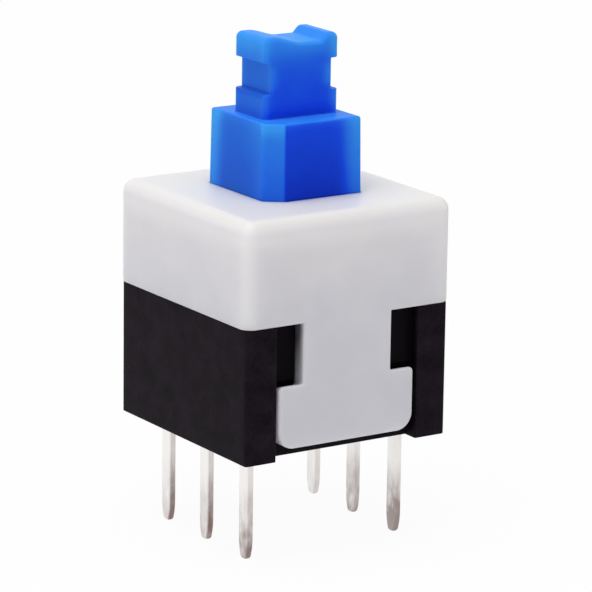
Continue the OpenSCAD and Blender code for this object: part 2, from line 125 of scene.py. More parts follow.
class NodeKit:
    """Adds nodes to one tree."""

    def __init__(self, tree: bpy.types.NodeTree) -> None:
        """Keeps the tree and empties it."""
        self.tree = tree
        tree.nodes.clear()

    def add(self, kind: str, settings: Mapping[str, Any] | None = None,
            sockets: Mapping[Any, Any] | None = None, output: Any = 0) -> Wire:
        """Adds any node.

        Args:
            kind: the node's type.
            settings: its properties, set first.
            sockets: values or wires for its inputs, by name or place.
            output: name or place of the output that is returned.

        Returns:
            That output as a wire.
        """
        node = self.tree.nodes.new(kind)
        for name, value in (settings or {}).items():
            setattr(node, name, value)
        for name, value in (sockets or {}).items():
            if isinstance(value, Wire):
                self.tree.links.new(value.socket, node.inputs[name])
            else:
                node.inputs[name].default_value = value
        return Wire(self, node.outputs[output] if len(node.outputs) else None)

    def place(self, scale: Sequence[float] = (1, 1, 1)) -> Wire:
        """Object coordinates, stretched along each axis."""
        spot = self.add("ShaderNodeTexCoord", output="Object")
        return self.add("ShaderNodeMapping", None, {"Vector": spot, "Scale": scale})

    def along(self, axis: str) -> Wire:
        """The Object coordinate along one axis, in millimetres."""
        spot = self.add("ShaderNodeTexCoord", output="Object")
        return self.add("ShaderNodeSeparateXYZ", None, {0: spot}, output=axis) / MM

    def attribute(self, name: str) -> Wire:
        """A value that the mesh's points carry."""
        return self.add("ShaderNodeAttribute", {"attribute_name": name}, output="Fac")

    def noise(self, size_mm: float, detail: float = 3.0, rough: float = 0.55,
              stretch: Sequence[float] = (1, 1, 1)) -> Wire:
        """Noise with grains of one size.

        Args:
            size_mm: width of a grain.
            detail: number of finer layers.
            rough: weight of the finer layers.
            stretch: scale of the coordinates along each axis.

        Returns:
            The noise's value, about 0.5.
        """
        sockets = {"Vector": self.place(stretch), "Scale": 1.0 / (size_mm * MM),
                   "Detail": detail, "Roughness": rough}
        return self.add("ShaderNodeTexNoise", {"noise_dimensions": "3D"}, sockets)

    def mix(self, share: Any, first: Any, second: Any) -> Wire:
        """Mixes two colours by a share of the second."""
        return self.add("ShaderNodeMix", {"data_type": "RGBA", "clamp_factor": True},
                        {0: share, 6: first, 7: second}, output=2)

    def bump(self, height: Wire, depth_um: float, strength: float) -> Wire:
        """Normal of a surface with relief.

        Args:
            height: relief from 0 to 1.
            depth_um: depth of the relief in micrometres.
            strength: share of the relief that shows.

        Returns:
            The normal.
        """
        return self.add("ShaderNodeBump", None,
                        {"Height": height, "Distance": depth_um * 1e-6, "Strength": strength})


def blend(shares: Sequence[float], *wires: Wire) -> Wire:
    """The first share plus each wire times its own share."""
    return sum((share * wire for share, wire in zip(shares[1:], wires)), start=shares[0])


def rgb(red: float, green: float, blue: float) -> Colour:
    """A linear colour with full cover."""
    return (red, green, blue, 1.0)


@dataclass(frozen=True)
class Finish:
    """A surface finish: one material that any number of pieces share.

    Its rough field holds the roughness and the shares that textures add to it, its relief field the
    bump's depth in micrometres and its strength.
    """

    name: str
    slot: str
    rough: Shares = (0.5,)
    relief: Pair = (2.0, 0.4)

    def varied(self, kit: NodeKit) -> dict[str, Any]:
        """Shader sockets that change over the surface; each finish gives its own."""
        raise NotImplementedError

    def fixed(self) -> dict[str, Any]:
        """Shader sockets that are the same all over: bare metal, unless a finish says otherwise."""
        return {"Metallic": 1.0}

    def material(self) -> bpy.types.Material:
        """The finish's material, made once.

        Returns:
            A material with a Principled shader.
        """
        found = bpy.data.materials.get(self.name)
        if found is not None:
            return found
        made = bpy.data.materials.new(self.name)
        made.use_nodes = True
        kit = NodeKit(made.node_tree)
        settings = {"subsurface_method": "RANDOM_WALK"}
        shader = kit.add("ShaderNodeBsdfPrincipled", settings, {**self.fixed(), **self.varied(kit)})
        kit.add("ShaderNodeOutputMaterial", None, {"Surface": shader})
        return made


@dataclass(frozen=True)
class WhitePlastic(Finish):
    """Satin white moulding: faintly cloudy, with painted shade that makes it darker and cooler low down,
    painted highlights near its upright edges and in a band under its top, warmer on the top, and painted
    shade in the pockets beside its tongues."""

    rough: Shares = (0.33, 0.14, 0.06)
    relief: Pair = (4.0, 0.35)
    # pale to shade: painted shade that darkens and cools the moulding low down
    pale: Colour = rgb(0.832, 0.810, 0.828)
    shade: Colour = rgb(0.705, 0.700, 0.752)
    crown: Colour = rgb(0.808, 0.796, 0.768)
    # edge: painted highlight colour for the upright edges and the band under the top
    edge: Colour = rgb(0.92, 0.905, 0.905)
    # painted shade colour for the pockets beside the tongues
    pocket_shade_colour: Colour = rgb(0.13, 0.126, 0.134)
    cloud_mm: float = 1.6
    skin_mm: float = 0.09
    cloud_share: float = 0.9
    # the painted shade fades out up to this height, by this power
    painted_shade_top_z: float = 7.6
    painted_shade_power: float = 3.0
    half: float = 4.1
    # painted highlights: reach, fade and share near the upright edges, then the band under the top
    edge_w: float = 1.1
    edge_highlight_power: float = 1.5
    edge_highlight_share: float = 0.5
    highlight_band_z: float = 7.55
    highlight_band_half: float = 0.55
    highlight_band_share: float = 0.45
    crown_z: float = 7.9
    crown_slope: float = 5.0
    crown_shares: Pair = (0.6, 0.4)
    # the pockets beside the tongues where shade is painted, and how it fades
    tongue_y: float = 4.08
    tongue_z: float = 4.6
    shade_pocket_slopes: Pair = (-3.2, -20.0)
    pocket_shade_shares: Pair = (-0.7, 0.42)

    def fixed(self) -> dict[str, Any]:
        """A little light passes under the skin."""
        return {"Subsurface Weight": 0.8, "Subsurface Radius": (1.0, 0.95, 1.0),
                "Subsurface Scale": 0.6 * MM, "IOR": 1.49, "Specular IOR Level": 0.4}

    def varied(self, kit: NodeKit) -> dict[str, Any]:
        """Painted shade by height, painted highlights on the edges and in a band, the warm top, then
        painted shade in the pockets, over a fine skin of relief.

        Args:
            kit: adds the nodes.

        Returns:
            Values or wires by socket.
        """
        clouds = kit.noise(self.cloud_mm, detail=2.0)
        skin = kit.noise(self.skin_mm, detail=4.0)
        x, y, z = (kit.along(axis) for axis in "XYZ")
        # painted shade: darker and cooler low down, mixed with random clouds
        high = (z / self.painted_shade_top_z).clamped() ** self.painted_shade_power
        colour = kit.mix((clouds - 0.5) * self.cloud_share + high, self.shade, self.pale)
        top = z.ramp(self.crown_z, self.crown_slope)
        inward = self.half - x.size().smaller(y.size())
        # painted highlights near the upright edges and in a band under the top, kept off the top itself
        near = (1.0 - inward / self.edge_w).clamped() ** self.edge_highlight_power
        highlight_band = (1.0 - (z - self.highlight_band_z).size() / self.highlight_band_half).clamped()
        painted_highlights = (near * self.edge_highlight_share).larger(highlight_band * self.highlight_band_share) * (1.0 - top)
        colour = kit.mix(painted_highlights, colour, self.edge)
        colour = kit.mix(top * blend(self.crown_shares, clouds), colour, self.crown)
        # painted shade in the pockets beside the tongues, stronger higher up
        pocket = (y.size().ramp(self.tongue_y, self.shade_pocket_slopes[0])
                  * z.ramp(self.tongue_z, self.shade_pocket_slopes[1]))
        colour = kit.mix(pocket * blend(self.pocket_shade_shares, z), colour, self.pocket_shade_colour)
        return {"Base Color": colour, "Roughness": blend(self.rough, clouds, skin),
                "Normal": kit.bump(skin, *self.relief)}


@dataclass(frozen=True)
class BlackPlastic(Finish):
    """Black moulding with a spark-eroded grain and faint mottling, and painted shade in the pockets beside
    the tongues."""

    rough: Shares = (0.42, 0.2, 0.08)
    relief: Pair = (9.0, 0.5)
    dark: Colour = rgb(0.0028, 0.0015, 0.0034)
    pale: Colour = rgb(0.0180, 0.0122, 0.0192)
    mottle_mm: float = 0.7
    grain_mm: float = 0.06
    pit_mm: float = 0.11
    fine: float = 0.6
    wear: Shares = (-0.975, 1.69, 1.17)
    # the pockets beside the tongues where shade is painted: their reach across and inward, and the fades
    pocket: Pair = (2.9, 3.95)
    shade_pocket_slopes: tuple[float, float, float] = (-20.0, -4.0, 3.0)
    pocket_shade_depth: float = 0.9
    grain_shares: Pair = (0.6, 0.5)

    def fixed(self) -> dict[str, Any]:
        """A weak gloss."""
        return {"IOR": 1.5, "Specular IOR Level": 0.045}

    def varied(self, kit: NodeKit) -> dict[str, Any]:
        """Mottled colour with painted shade in the pockets, and gloss over a pitted grain.

        Args:
            kit: adds the nodes.

        Returns:
            Values or wires by socket.
        """
        mottle = kit.noise(self.mottle_mm, rough=self.fine)
        grain = kit.noise(self.grain_mm, rough=self.fine)
        pits = kit.add("ShaderNodeTexVoronoi", {"feature": "SMOOTH_F1"},
                       {"Vector": kit.place(), "Scale": 1.0 / (self.pit_mm * MM)})
        sides = (kit.along("X").size(), kit.along("Y").size(), kit.along("Z"))
        across, inward, up = (side.ramp(start, slope) for side, start, slope
                              in zip(sides, (*self.pocket, 0.0), self.shade_pocket_slopes))
        # painted shade: darker in the pockets beside the tongues
        pocket_shade_keep = 1.0 - across * inward * up * self.pocket_shade_depth
        colour = kit.mix(blend(self.wear, mottle, grain) * pocket_shade_keep, self.dark, self.pale)
        return {"Base Color": colour, "Roughness": blend(self.rough, mottle, grain),
                "Normal": kit.bump(blend((0.0, *self.grain_shares), grain, pits), *self.relief)}


@dataclass(frozen=True)
class BluePlastic(Finish):
    """Glossy blue moulding with painted light and shade: deep in the middle of its faces and pale at its
    edges and head, and duller on its sides.
    """

    rough: Shares = (0.32, 0.16, 0.05)
    relief: Pair = (4.0, 0.3)
    # deep, body and thin: from painted shade to painted light, chosen by the mesh's painted light value
    deep: Colour = rgb(0.002, 0.029, 0.55)
    body: Colour = rgb(0.007, 0.080, 0.84)
    thin: Colour = rgb(0.050, 0.385, 0.96)
    veil: Colour = rgb(0.024, 0.20, 0.41)
    swirl_mm: float = 1.3
    skin_mm: float = 0.12
    swirl_share: float = 0.16
    body_share: float = 2.8
    painted_glow_start: float = 0.36
    painted_glow_share: float = 1.56
    veil_shares: Pair = (0.55, -0.65)

    def fixed(self) -> dict[str, Any]:
        """Blue light passes furthest under the skin."""
        return {"Subsurface Weight": 0.6, "Subsurface Radius": (0.12, 0.45, 1.0),
                "Subsurface Scale": 0.3 * MM, "IOR": 1.5, "Specular IOR Level": 0.07}

    def varied(self, kit: NodeKit) -> dict[str, Any]:
        """Painted shade as deep colour in the middle of the faces and painted light as pale colour at the
        edges, veiled on the sides.

        Args:
            kit: adds the nodes.

        Returns:
            Values or wires by socket.
        """
        swirl = kit.noise(self.swirl_mm, detail=2.0)
        skin = kit.noise(self.skin_mm)
        # painted light and shade from the plunger's mesh value, with a random swirl
        painted_light_and_swirl = kit.attribute("thin") + (swirl - 0.5) * self.swirl_share
        colour = kit.mix(painted_light_and_swirl * self.body_share, self.deep, self.body)
        colour = kit.mix((painted_light_and_swirl - self.painted_glow_start) * self.painted_glow_share, colour, self.thin)
        colour = kit.mix(kit.attribute("dull") * blend(self.veil_shares, painted_light_and_swirl), colour, self.veil)
        return {"Base Color": colour, "Roughness": blend(self.rough, swirl, skin),
                "Normal": kit.bump(skin, *self.relief)}


@dataclass(frozen=True)
class TinPlate(Finish):
    """Bright tin on brass strip, with bare sheared edges and a dulled tip."""

    rough: Shares = (0.24, 0.16, 0.2)
    relief: Pair = (3.0, 0.4)
    tin: Colour = rgb(0.93, 0.91, 0.885)
    dull: Colour = rgb(0.36, 0.29, 0.28)
    brass: Colour = rgb(0.24, 0.17, 0.16)
    streak_mm: float = 0.12
    streak_long: float = 0.08
    patch_mm: float = 0.45
    patch_long: float = 0.5
    patch_fine: float = 0.6
    stain: Pair = (-0.55, 2.2)
    stain_share: float = 0.85
    bare: Pair = (0.5, 1.0)

    def varied(self, kit: NodeKit) -> dict[str, Any]:
        """Rolling streaks along the pin, brass at the sheared edges, dull flux stains near the tip.

        Args:
            kit: adds the nodes.

        Returns:
            Values or wires by socket.
        """
        streaks = kit.noise(self.streak_mm, stretch=(1, 1, self.streak_long))
        patches = kit.noise(self.patch_mm, rough=self.patch_fine, stretch=(1, 1, self.patch_long))
        stain = (kit.attribute("tip") * blend(self.stain, patches)).clamped()
        colour = kit.mix(stain * self.stain_share, self.tin, self.dull)
        bare = kit.attribute("sheared") * blend(self.bare, patches)
        return {"Base Color": kit.mix(bare, colour, self.brass),
                "Roughness": blend(self.rough, streaks, stain), "Normal": kit.bump(streaks, *self.relief)}


@dataclass(frozen=True)
class DrawnWire(Finish):
    """Drawn steel wire with fine die lines."""

    rough: Shares = (0.2, 0.25)
    bright: Colour = rgb(0.66, 0.66, 0.68)
    dark: Colour = rgb(0.42, 0.42, 0.45)
    line_mm: float = 0.05
    line_long: float = 0.3
    tone: Pair = (-0.2, 1.4)

    def varied(self, kit: NodeKit) -> dict[str, Any]:
        """Die lines in the colour and the gloss.

        Args:
            kit: adds the nodes.

        Returns:
            Values or wires by socket.
        """
        lines = kit.noise(self.line_mm, detail=4.0, stretch=(1, 1, self.line_long))
        return {"Base Color": kit.mix(blend(self.tone, lines), self.dark, self.bright),
                "Roughness": blend(self.rough, lines), "Normal": kit.bump(lines, *self.relief)}


@dataclass(frozen=True)
class RolledBronze(Finish):
    """Rolled bronze spring strip, slightly tarnished."""

    rough: Shares = (0.26, 0.2)
    bright: Colour = rgb(0.70, 0.47, 0.27)
    tarnish: Colour = rgb(0.42, 0.25, 0.13)
    line_mm: float = 0.06
    line_long: float = 0.1
    patch_mm: float = 0.8
    tone: Pair = (-0.35, 1.5)

    def varied(self, kit: NodeKit) -> dict[str, Any]:
        """Rolling lines along the strip and patches of tarnish.

        Args:
            kit: adds the nodes.

        Returns:
            Values or wires by socket.
        """
        lines = kit.noise(self.line_mm, stretch=(1, self.line_long, 1))
        patches = kit.noise(self.patch_mm)
        return {"Base Color": kit.mix(blend(self.tone, patches), self.bright, self.tarnish),
                "Roughness": blend(self.rough, lines), "Normal": kit.bump(lines, *self.relief)}


WHITE = WhitePlastic("satin_white_plastic", "white_plastic")
BLACK = BlackPlastic("grained_black_plastic", "black_plastic")
BLUE = BluePlastic("glossy_blue_plastic", "blue_plastic")
TIN = TinPlate("tinned_pin", "tinned_brass")
STEEL = DrawnWire("drawn_steel_wire", "spring_steel")
BRONZE = RolledBronze("rolled_bronze_strip", "contact_bronze")


class Ends(Enum):
    """How the two ends of a loft are finished."""

    OPEN = "open"
    POLES = "poles"


def linked(name: str, data: bpy.types.ID) -> bpy.types.Object:
    """A new object of the scene.

    Args:
        name: its name.
        data: its mesh, light or camera.

    Returns:
        The object.
    """
    obj = bpy.data.objects.new(name, data)
    bpy.context.scene.collection.objects.link(obj)
    return obj


@dataclass
class Surface:
    """Points in millimetres, the faces between them and values at the points."""

    points: np.ndarray
    quads: np.ndarray
    tris: np.ndarray = field(default_factory=lambda: np.zeros((0, 3), int))
    values: dict[str, np.ndarray] = field(default_factory=dict)

    def joined(self, other: "Surface") -> "Surface":
        """Both surfaces as one, without merging their points.

        Args:
            other: the other surface.

        Returns:
            The two, without values at their points.
        """
        shift = len(self.points)
        return Surface(np.vstack([self.points, other.points]),
                       np.vstack([self.quads, other.quads + shift]),
                       np.vstack([self.tris, other.tris + shift]))

    def merged(self) -> "Surface":
        """The surface with points at the same place made one.

        Returns:
            The surface, without values at its points.
        """
        key = np.round(self.points / (10 * TINY)).astype(np.int64)
        _, first, where = np.unique(key, axis=0, return_index=True, return_inverse=True)
        where = where.reshape(-1)
        return Surface(self.points[first], where[self.quads], where[self.tris])

    def mirrored(self, *signs: int) -> "Surface":
        """The surface with each coordinate times its sign, its faces still outwards."""
        way = int(np.prod(signs))
        return Surface(self.points * signs, self.quads[:, ::way], self.tris[:, ::way], self.values)

    def piece(self, name: str, finish: Finish, body: str, *nodes: str) -> bpy.types.Object:
        """Makes the surface a piece of the object.

        Args:
            name: the piece's name.
            finish: its finish.
            body: the body that it rides on.
            nodes: the CAD nodes that it stands for.

        Returns:
            The new object.
        """
        mesh = bpy.data.meshes.new(name)
        mesh.from_pydata((self.points * MM).tolist(), [], self.quads.tolist() + self.tris.tolist())
        for key, value in self.values.items():
            layer = mesh.attributes.new(key, "FLOAT", "POINT")
            layer.data.foreach_set("value", value.astype(np.float32))
        mesh.shade_smooth()
        mesh.validate()
        obj = linked(name, mesh)
        mesh.materials.append(finish.material())
        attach(obj, body)
        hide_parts(*nodes)
        LOG.info("%s: %d points, %s, on %s", name, len(self.points), finish.name, body)
        return obj


def loft(rings: np.ndarray, ends: Ends) -> Surface:
    """Skin over closed rings of the same number of points: point j of ring i at (i, j).

    Args:
        rings: array of rings, points and three coordinates.
        ends: whether the first and last ring close to a pole at their middle.

    Returns:
        The skin, facing outwards where rings that run anticlockwise rise.
    """
    rows, count, _ = rings.shape
    near = np.arange(rows * count).reshape(rows, count)
    far = np.roll(near, -1, axis=1)
    quads = np.stack([near[:-1], far[:-1], far[1:], near[1:]], -1).reshape(-1, 4)
    points = rings.reshape(-1, 3)
    if ends is Ends.OPEN:
        return Surface(points, quads)
    pole = np.full(count, rows * count)
    tris = np.vstack([np.stack([far[0], near[0], pole], 1), np.stack([near[-1], far[-1], pole + 1], 1)])
    return Surface(np.vstack([points, rings[0].mean(0), rings[-1].mean(0)]), quads, tris)


def arc_lines(edge: float, radius: float, steps: int) -> np.ndarray:
    """Planes that a rounding needs below an edge: the edge less the radius, plus the radius times the
    tangent of equal angles up to 45 degrees, and the same on the other side of zero."""
    side = math.copysign(1.0, edge)
    return edge - side * radius + side * radius * np.tan(np.linspace(0, math.pi / 4, steps + 1))


def both(values: Sequence[float] | np.ndarray) -> np.ndarray:
    """The values and their opposites."""
    values = np.asarray(values, float)
    return np.concatenate([-values, values])


def round_box(points: np.ndarray, low: Sequence[float], high: Sequence[float], radius: float) -> np.ndarray:
    """Rounds a box's edges: what stands past the box shrunk by the radius is scaled so that its length
    is its largest coordinate, which turns nested squares into nested circles.

    Args:
        points: points on the box.
        low: lowest corner; an infinite value leaves that side square.
        high: highest corner.
        radius: rounding radius.

    Returns:
        The moved points.
    """
    core = np.clip(points, np.add(low, radius), np.subtract(high, radius))
    past = points - core
    length = np.linalg.norm(past, axis=1)
    largest = np.abs(past).max(axis=1)
    return core + past * (largest / np.maximum(length, TINY))[:, None]


class CellBlock:
    """A block that planes cut into cells, full or empty; its skin is the faces between the two kinds."""

    def __init__(self, *planes: Sequence[float]) -> None:
        """Sets the planes across X, Y and Z, with all cells empty."""
        self.planes = [np.unique(np.round(np.asarray(p, float), 6)) for p in planes]
        self.full = np.zeros([len(p) - 1 for p in self.planes], bool)

    def set(self, low: Sequence[float], high: Sequence[float], full: bool) -> None:
        """Fills or empties the cells of a box.

        Args:
            low: the box's lowest corner.
            high: its highest corner.
            full: True to fill it.
        """
        spans = [slice(*np.searchsorted(p, (a - TINY, b - TINY)))
                 for p, a, b in zip(self.planes, low, high)]
        self.full[tuple(spans)] = full

    def skin(self) -> Surface:
        """Faces where a full cell meets an empty one, from the steps of the padded cells along each axis.

        Returns:
            The skin, with its points merged.
        """
        shape = [len(p) for p in self.planes]
        number = np.arange(np.prod(shape)).reshape(shape)
        padded = np.pad(self.full, 1).astype(np.int8)
        faces = []
        for axis in range(3):
            trim = [slice(1, -1)] * 3
            trim[axis] = slice(None)
            step = np.diff(padded, axis=axis)[tuple(trim)]
            along, across = np.eye(3, dtype=int)[[(axis + 1) % 3, (axis + 2) % 3]]
            for sign in (-1, 1):
                at = np.argwhere(step == sign)
                loop = [at, at + along, at + along + across, at + across][::-sign]
                faces.append(np.stack([number[tuple(c.T)] for c in loop], 1))
        quads = np.vstack(faces)
        used, where = np.unique(quads, return_inverse=True)
        grid = np.stack(np.meshgrid(*self.planes, indexing="ij"), -1).reshape(-1, 3)
        return Surface(grid[used], where.reshape(quads.shape))


def without(skin: Surface, low: Sequence[float], high: Sequence[float]) -> Surface:
    """The skin less the quads whose middle lies in a box.

    Args:
        skin: the skin.
        low: the box's lowest corner.
        high: its highest corner.

    Returns:
        What is left of the skin.
    """
    middle = skin.points[skin.quads].mean(1)
    inside = np.all((middle > np.subtract(low, TINY)) & (middle < np.add(high, TINY)), axis=1)
    return Surface(skin.points, skin.quads[~inside], skin.tris)


def square_loop(first: np.ndarray, second: np.ndarray) -> np.ndarray:
    """Anticlockwise outline of a rectangle through every plane that crosses it.

    Args:
        first: planes across the first axis, lowest to highest.
        second: planes across the second axis.

    Returns:
        Points of the two coordinates, from the corner at the first axis's high and the second's low end.
    """
    right = np.stack([np.full(len(second) - 1, first[-1]), second[:-1]], 1)
    top = np.stack([first[::-1][:-1], np.full(len(first) - 1, second[-1])], 1)
    left = np.stack([np.full(len(second) - 1, first[0]), second[::-1][:-1]], 1)
    low = np.stack([first[:-1], np.full(len(first) - 1, second[0])], 1)
    return np.vstack([right, top, left, low])


def gathered(items: bpy.types.bpy_prop_collection, name: str, width: int, kind: type = float) -> np.ndarray:
    """One property of all of a mesh's vertices, edges, faces or corners.

    Args:
        items: the mesh's collection.
        name: the property.
        width: number of values that each item has.
        kind: type of the values.

    Returns:
        A row for each item.
    """
    values = np.zeros(len(items) * width, kind)
    items.foreach_get(name, values)
    return values.reshape(-1, width)


def soften(obj: bpy.types.Object, width_mm: float, segments: int,
           share: Callable[[np.ndarray], np.ndarray]) -> None:
    """Rounds a piece's sharp edges with a Bevel modifier, each by its own share of one width.

    Args:
        obj: the piece.
        width_mm: width for a share of 1.
        segments: steps round each edge.
        share: gives the shares from the edges' middles, in millimetres.
    """
    mesh = obj.data
    ends = gathered(mesh.edges, "vertices", 2, int)
    middle = gathered(mesh.vertices, "co", 3)[ends].mean(1) / MM
    normal = gathered(mesh.polygons, "normal", 3)
    corners = gathered(mesh.polygons, "loop_total", 1, int)[:, 0]
    edge = gathered(mesh.loops, "edge_index", 1, int)[:, 0]
    facing = np.zeros((len(mesh.edges), 3))
    np.add.at(facing, edge, np.repeat(normal, corners, axis=0))
    sharp = np.linalg.norm(facing, axis=1) < 2 * math.cos(math.radians(SHARP_DEG / 2))
    weight = sharp * share(middle)
    for name, kind, values in (("bevel_weight_edge", "FLOAT", weight.astype(np.float32)),
                               ("sharp_edge", "BOOLEAN", sharp & (weight == 0))):
        mesh.attributes.new(name, kind, "EDGE").data.foreach_set("value", values)
    bevel = obj.modifiers.new("round_edges", "BEVEL")
    bevel.limit_method = "WEIGHT"
    bevel.width = width_mm * MM
    bevel.segments = segments
    bevel.use_clamp_overlap = False
    even = obj.modifiers.new("even_shading", "WEIGHTED_NORMAL")
    even.weight = EVEN_WEIGHT
    even.keep_sharp = True


@dataclass
class Base:
    """The black base: a tray with a rim lip, channels for the tongues, slots for the terminals, a spring
    post and the lock pin's hole."""

    half: float = 4.0
    rim_z: float = 4.65
    floor_z: float = 0.8
    edge_r: float = 0.12
    wall_x: float = 2.955
    wall_y: float = 2.94
    lip_x: float = 3.255
    lip_y: float = 3.24
    lip_z: float = 5.15
    channel_x: float = 2.8
    channel_y: float = 3.38
    ear_y: float = 3.64
    ear_z: float = 2.65
    neck_x: float = 1.9
    slot_x: Pair = (2.855, 3.145)
    slot_half: float = 0.295
    pitch: float = 2.5
    common_half: float = 0.62
    outer_room: Pair = (1.255, 2.94)
    post_r: float = 0.65
    post_z: float = 2.0
    post_chamfer: float = 0.2
    post_fillet: float = 0.08
    post_soft: float = 0.03
    post_square: float = 1.1
    post_planes: int = 5
    hole_r: float = 0.23
    hole_z: float = 1.3
    hole_half: float = 0.4
    hole_planes: int = 5
    soft_w: float = 0.05
    soft_steps: int = 3
    inner_share: float = 0.5

    def _planes(self) -> tuple[np.ndarray, np.ndarray, np.ndarray]:
        """Planes at every step of the tray, and those that the round features need.

        Returns:
            The planes across X, Y and Z.
        """
        corner = arc_lines(self.half, self.edge_r, 2)
        ring = self.post_square * np.tan(np.linspace(0, math.pi / 4, self.post_planes))
        slots = np.add.outer(both([self.pitch]), both([self.slot_half])).ravel()
        x = np.concatenate([both(corner), both(ring), both([
            self.wall_x, self.lip_x, self.channel_x, self.neck_x, *self.slot_x])])
        y = np.concatenate([both(corner), both(ring), slots, both([
            self.slot_half, self.wall_y, self.lip_y, self.channel_y, self.ear_y, self.common_half,
            *self.outer_room])])
        hole = self.hole_z + np.linspace(-1, 1, self.hole_planes) * self.hole_half
        z = np.concatenate([[0, self.floor_z, self.ear_z, self.rim_z, self.lip_z], hole])
        return x, y, z

    def _cells(self) -> CellBlock:
        """Fills the tray and empties its rooms.

        Returns:
            The block of cells.
        """
        block = CellBlock(*self._planes())
        h, far = self.half, FAR
        block.set((-h, -h, 0), (h, h, self.rim_z), True)
        block.set((-self.lip_x, -self.lip_y, 0), (self.lip_x, self.lip_y, self.lip_z), True)
        block.set((-self.wall_x, -self.wall_y, self.floor_z), (self.wall_x, self.wall_y, far), False)
        rooms = [(self.channel_x, self.channel_y, -far, self.ear_z), (self.neck_x, self.channel_y, 0, far),
                 (self.channel_x, self.ear_y, 0, far)]
        for reach, start, low, high in rooms:
            block.set((-reach, -far, low), (reach, -start, high), False)
            block.set((-reach, start, low), (reach, far, high), False)
        inner, outer = self.outer_room
        for near, end in (self.slot_x, (-self.slot_x[1], -self.slot_x[0])):
            for y in (-self.pitch, 0, self.pitch):
                block.set((near, y - self.slot_half, -far), (end, y + self.slot_half, self.floor_z), False)
            for low, high in ((-outer, -inner), (-self.common_half, self.common_half), (inner, outer)):
                block.set((near, low, self.floor_z), (end, high, far), False)
        return block

    def _post(self, skin: Surface, planes: Sequence[np.ndarray]) -> Surface:
        """Spring post: rings from a square of the floor to a circle, up, and in over the chamfer.

        Args:
            skin: the tray's skin.
            planes: the planes across X, Y and Z.

        Returns:
            The skin with the post.
        """
        ring = planes[0][np.abs(planes[0]) < self.post_square + TINY]
        loop = square_loop(ring, planes[1][np.abs(planes[1]) < self.post_square + TINY])
        turn = np.arctan2(loop[:, 1], loop[:, 0])
        circle = np.stack([np.cos(turn), np.sin(turn)], 1)
        r, low, high = self.post_r, self.floor_z, self.post_z
        wide, soft, small = self.post_fillet, self.post_soft, self.post_fillet / 4
        tip, top = r - self.post_chamfer, high - self.post_chamfer
        rows = np.array([
            [r + wide, low], [r + small, low + small], [r, low + wide],
            [r, top - soft], [r - small, top + small],
            [tip + soft, high - soft], [tip - soft - small, high], [tip / 2, high]])
        level = np.broadcast_to(rows[:, 1:, None], (len(rows), len(loop), 1))
        rings = np.concatenate([circle * rows[:, :1, None], level], 2)
        foot = np.column_stack([loop, np.full(len(loop), self.floor_z)])
        capped = loft(np.concatenate([foot[None], rings]), Ends.POLES)
        capped.tris = capped.tris[len(loop):]
        flat = self.post_square
        skin = without(skin, (-flat, -flat, self.floor_z), (flat, flat, self.floor_z))
        return skin.joined(capped)

    def _pivot_hole(self, skin: Surface, planes: Sequence[np.ndarray]) -> Surface:
        """Round hole through the back wall: a square of each face to a circle, joined by a tube.

        Args:
            skin: the tray's skin.
            planes: the planes across X, Y and Z.

        Returns:
            The skin with the hole.
        """
        half = self.post_square * math.tan(math.pi / 8)
        across = planes[0][np.abs(planes[0]) < half + TINY]
        up = planes[2][np.abs(planes[2] - self.hole_z) < self.hole_half + TINY]
        loop = square_loop(across, up)
        turn = np.arctan2(loop[:, 1] - self.hole_z, loop[:, 0])
        circle = np.stack([self.hole_r * np.cos(turn), self.hole_z + self.hole_r * np.sin(turn)], 1)
        walls = (self.wall_y, self.channel_y)
        rows = [(loop, walls[0]), (circle, walls[0]), (circle, walls[1]), (loop, walls[1])]
        rings = np.stack([np.column_stack([r[:, 0], np.full(len(r), y), r[:, 1]]) for r, y in rows])
        for y in walls:
            skin = without(skin, (-half, y, up[0]), (half, y, up[-1]))
        return skin.joined(loft(rings, Ends.OPEN))

    def build(self) -> bpy.types.Object:
        """Makes the base with soft edges.

        Returns:
            The new object.
        """
        block = self._cells()
        skin = self._pivot_hole(self._post(block.skin(), block.planes), block.planes).merged()
        half = np.array([self.half, self.half, np.inf])
        skin.points = round_box(skin.points, -half, half, self.edge_r)
        obj = skin.piece("moulded_base", BLACK, "housing", "base")
        outside = self.half - NEAR
        soften(obj, self.soft_w, self.soft_steps,
               lambda m: np.where(np.abs(m[:, :2]).max(1) > outside, 1.0, self.inner_share))
        return obj


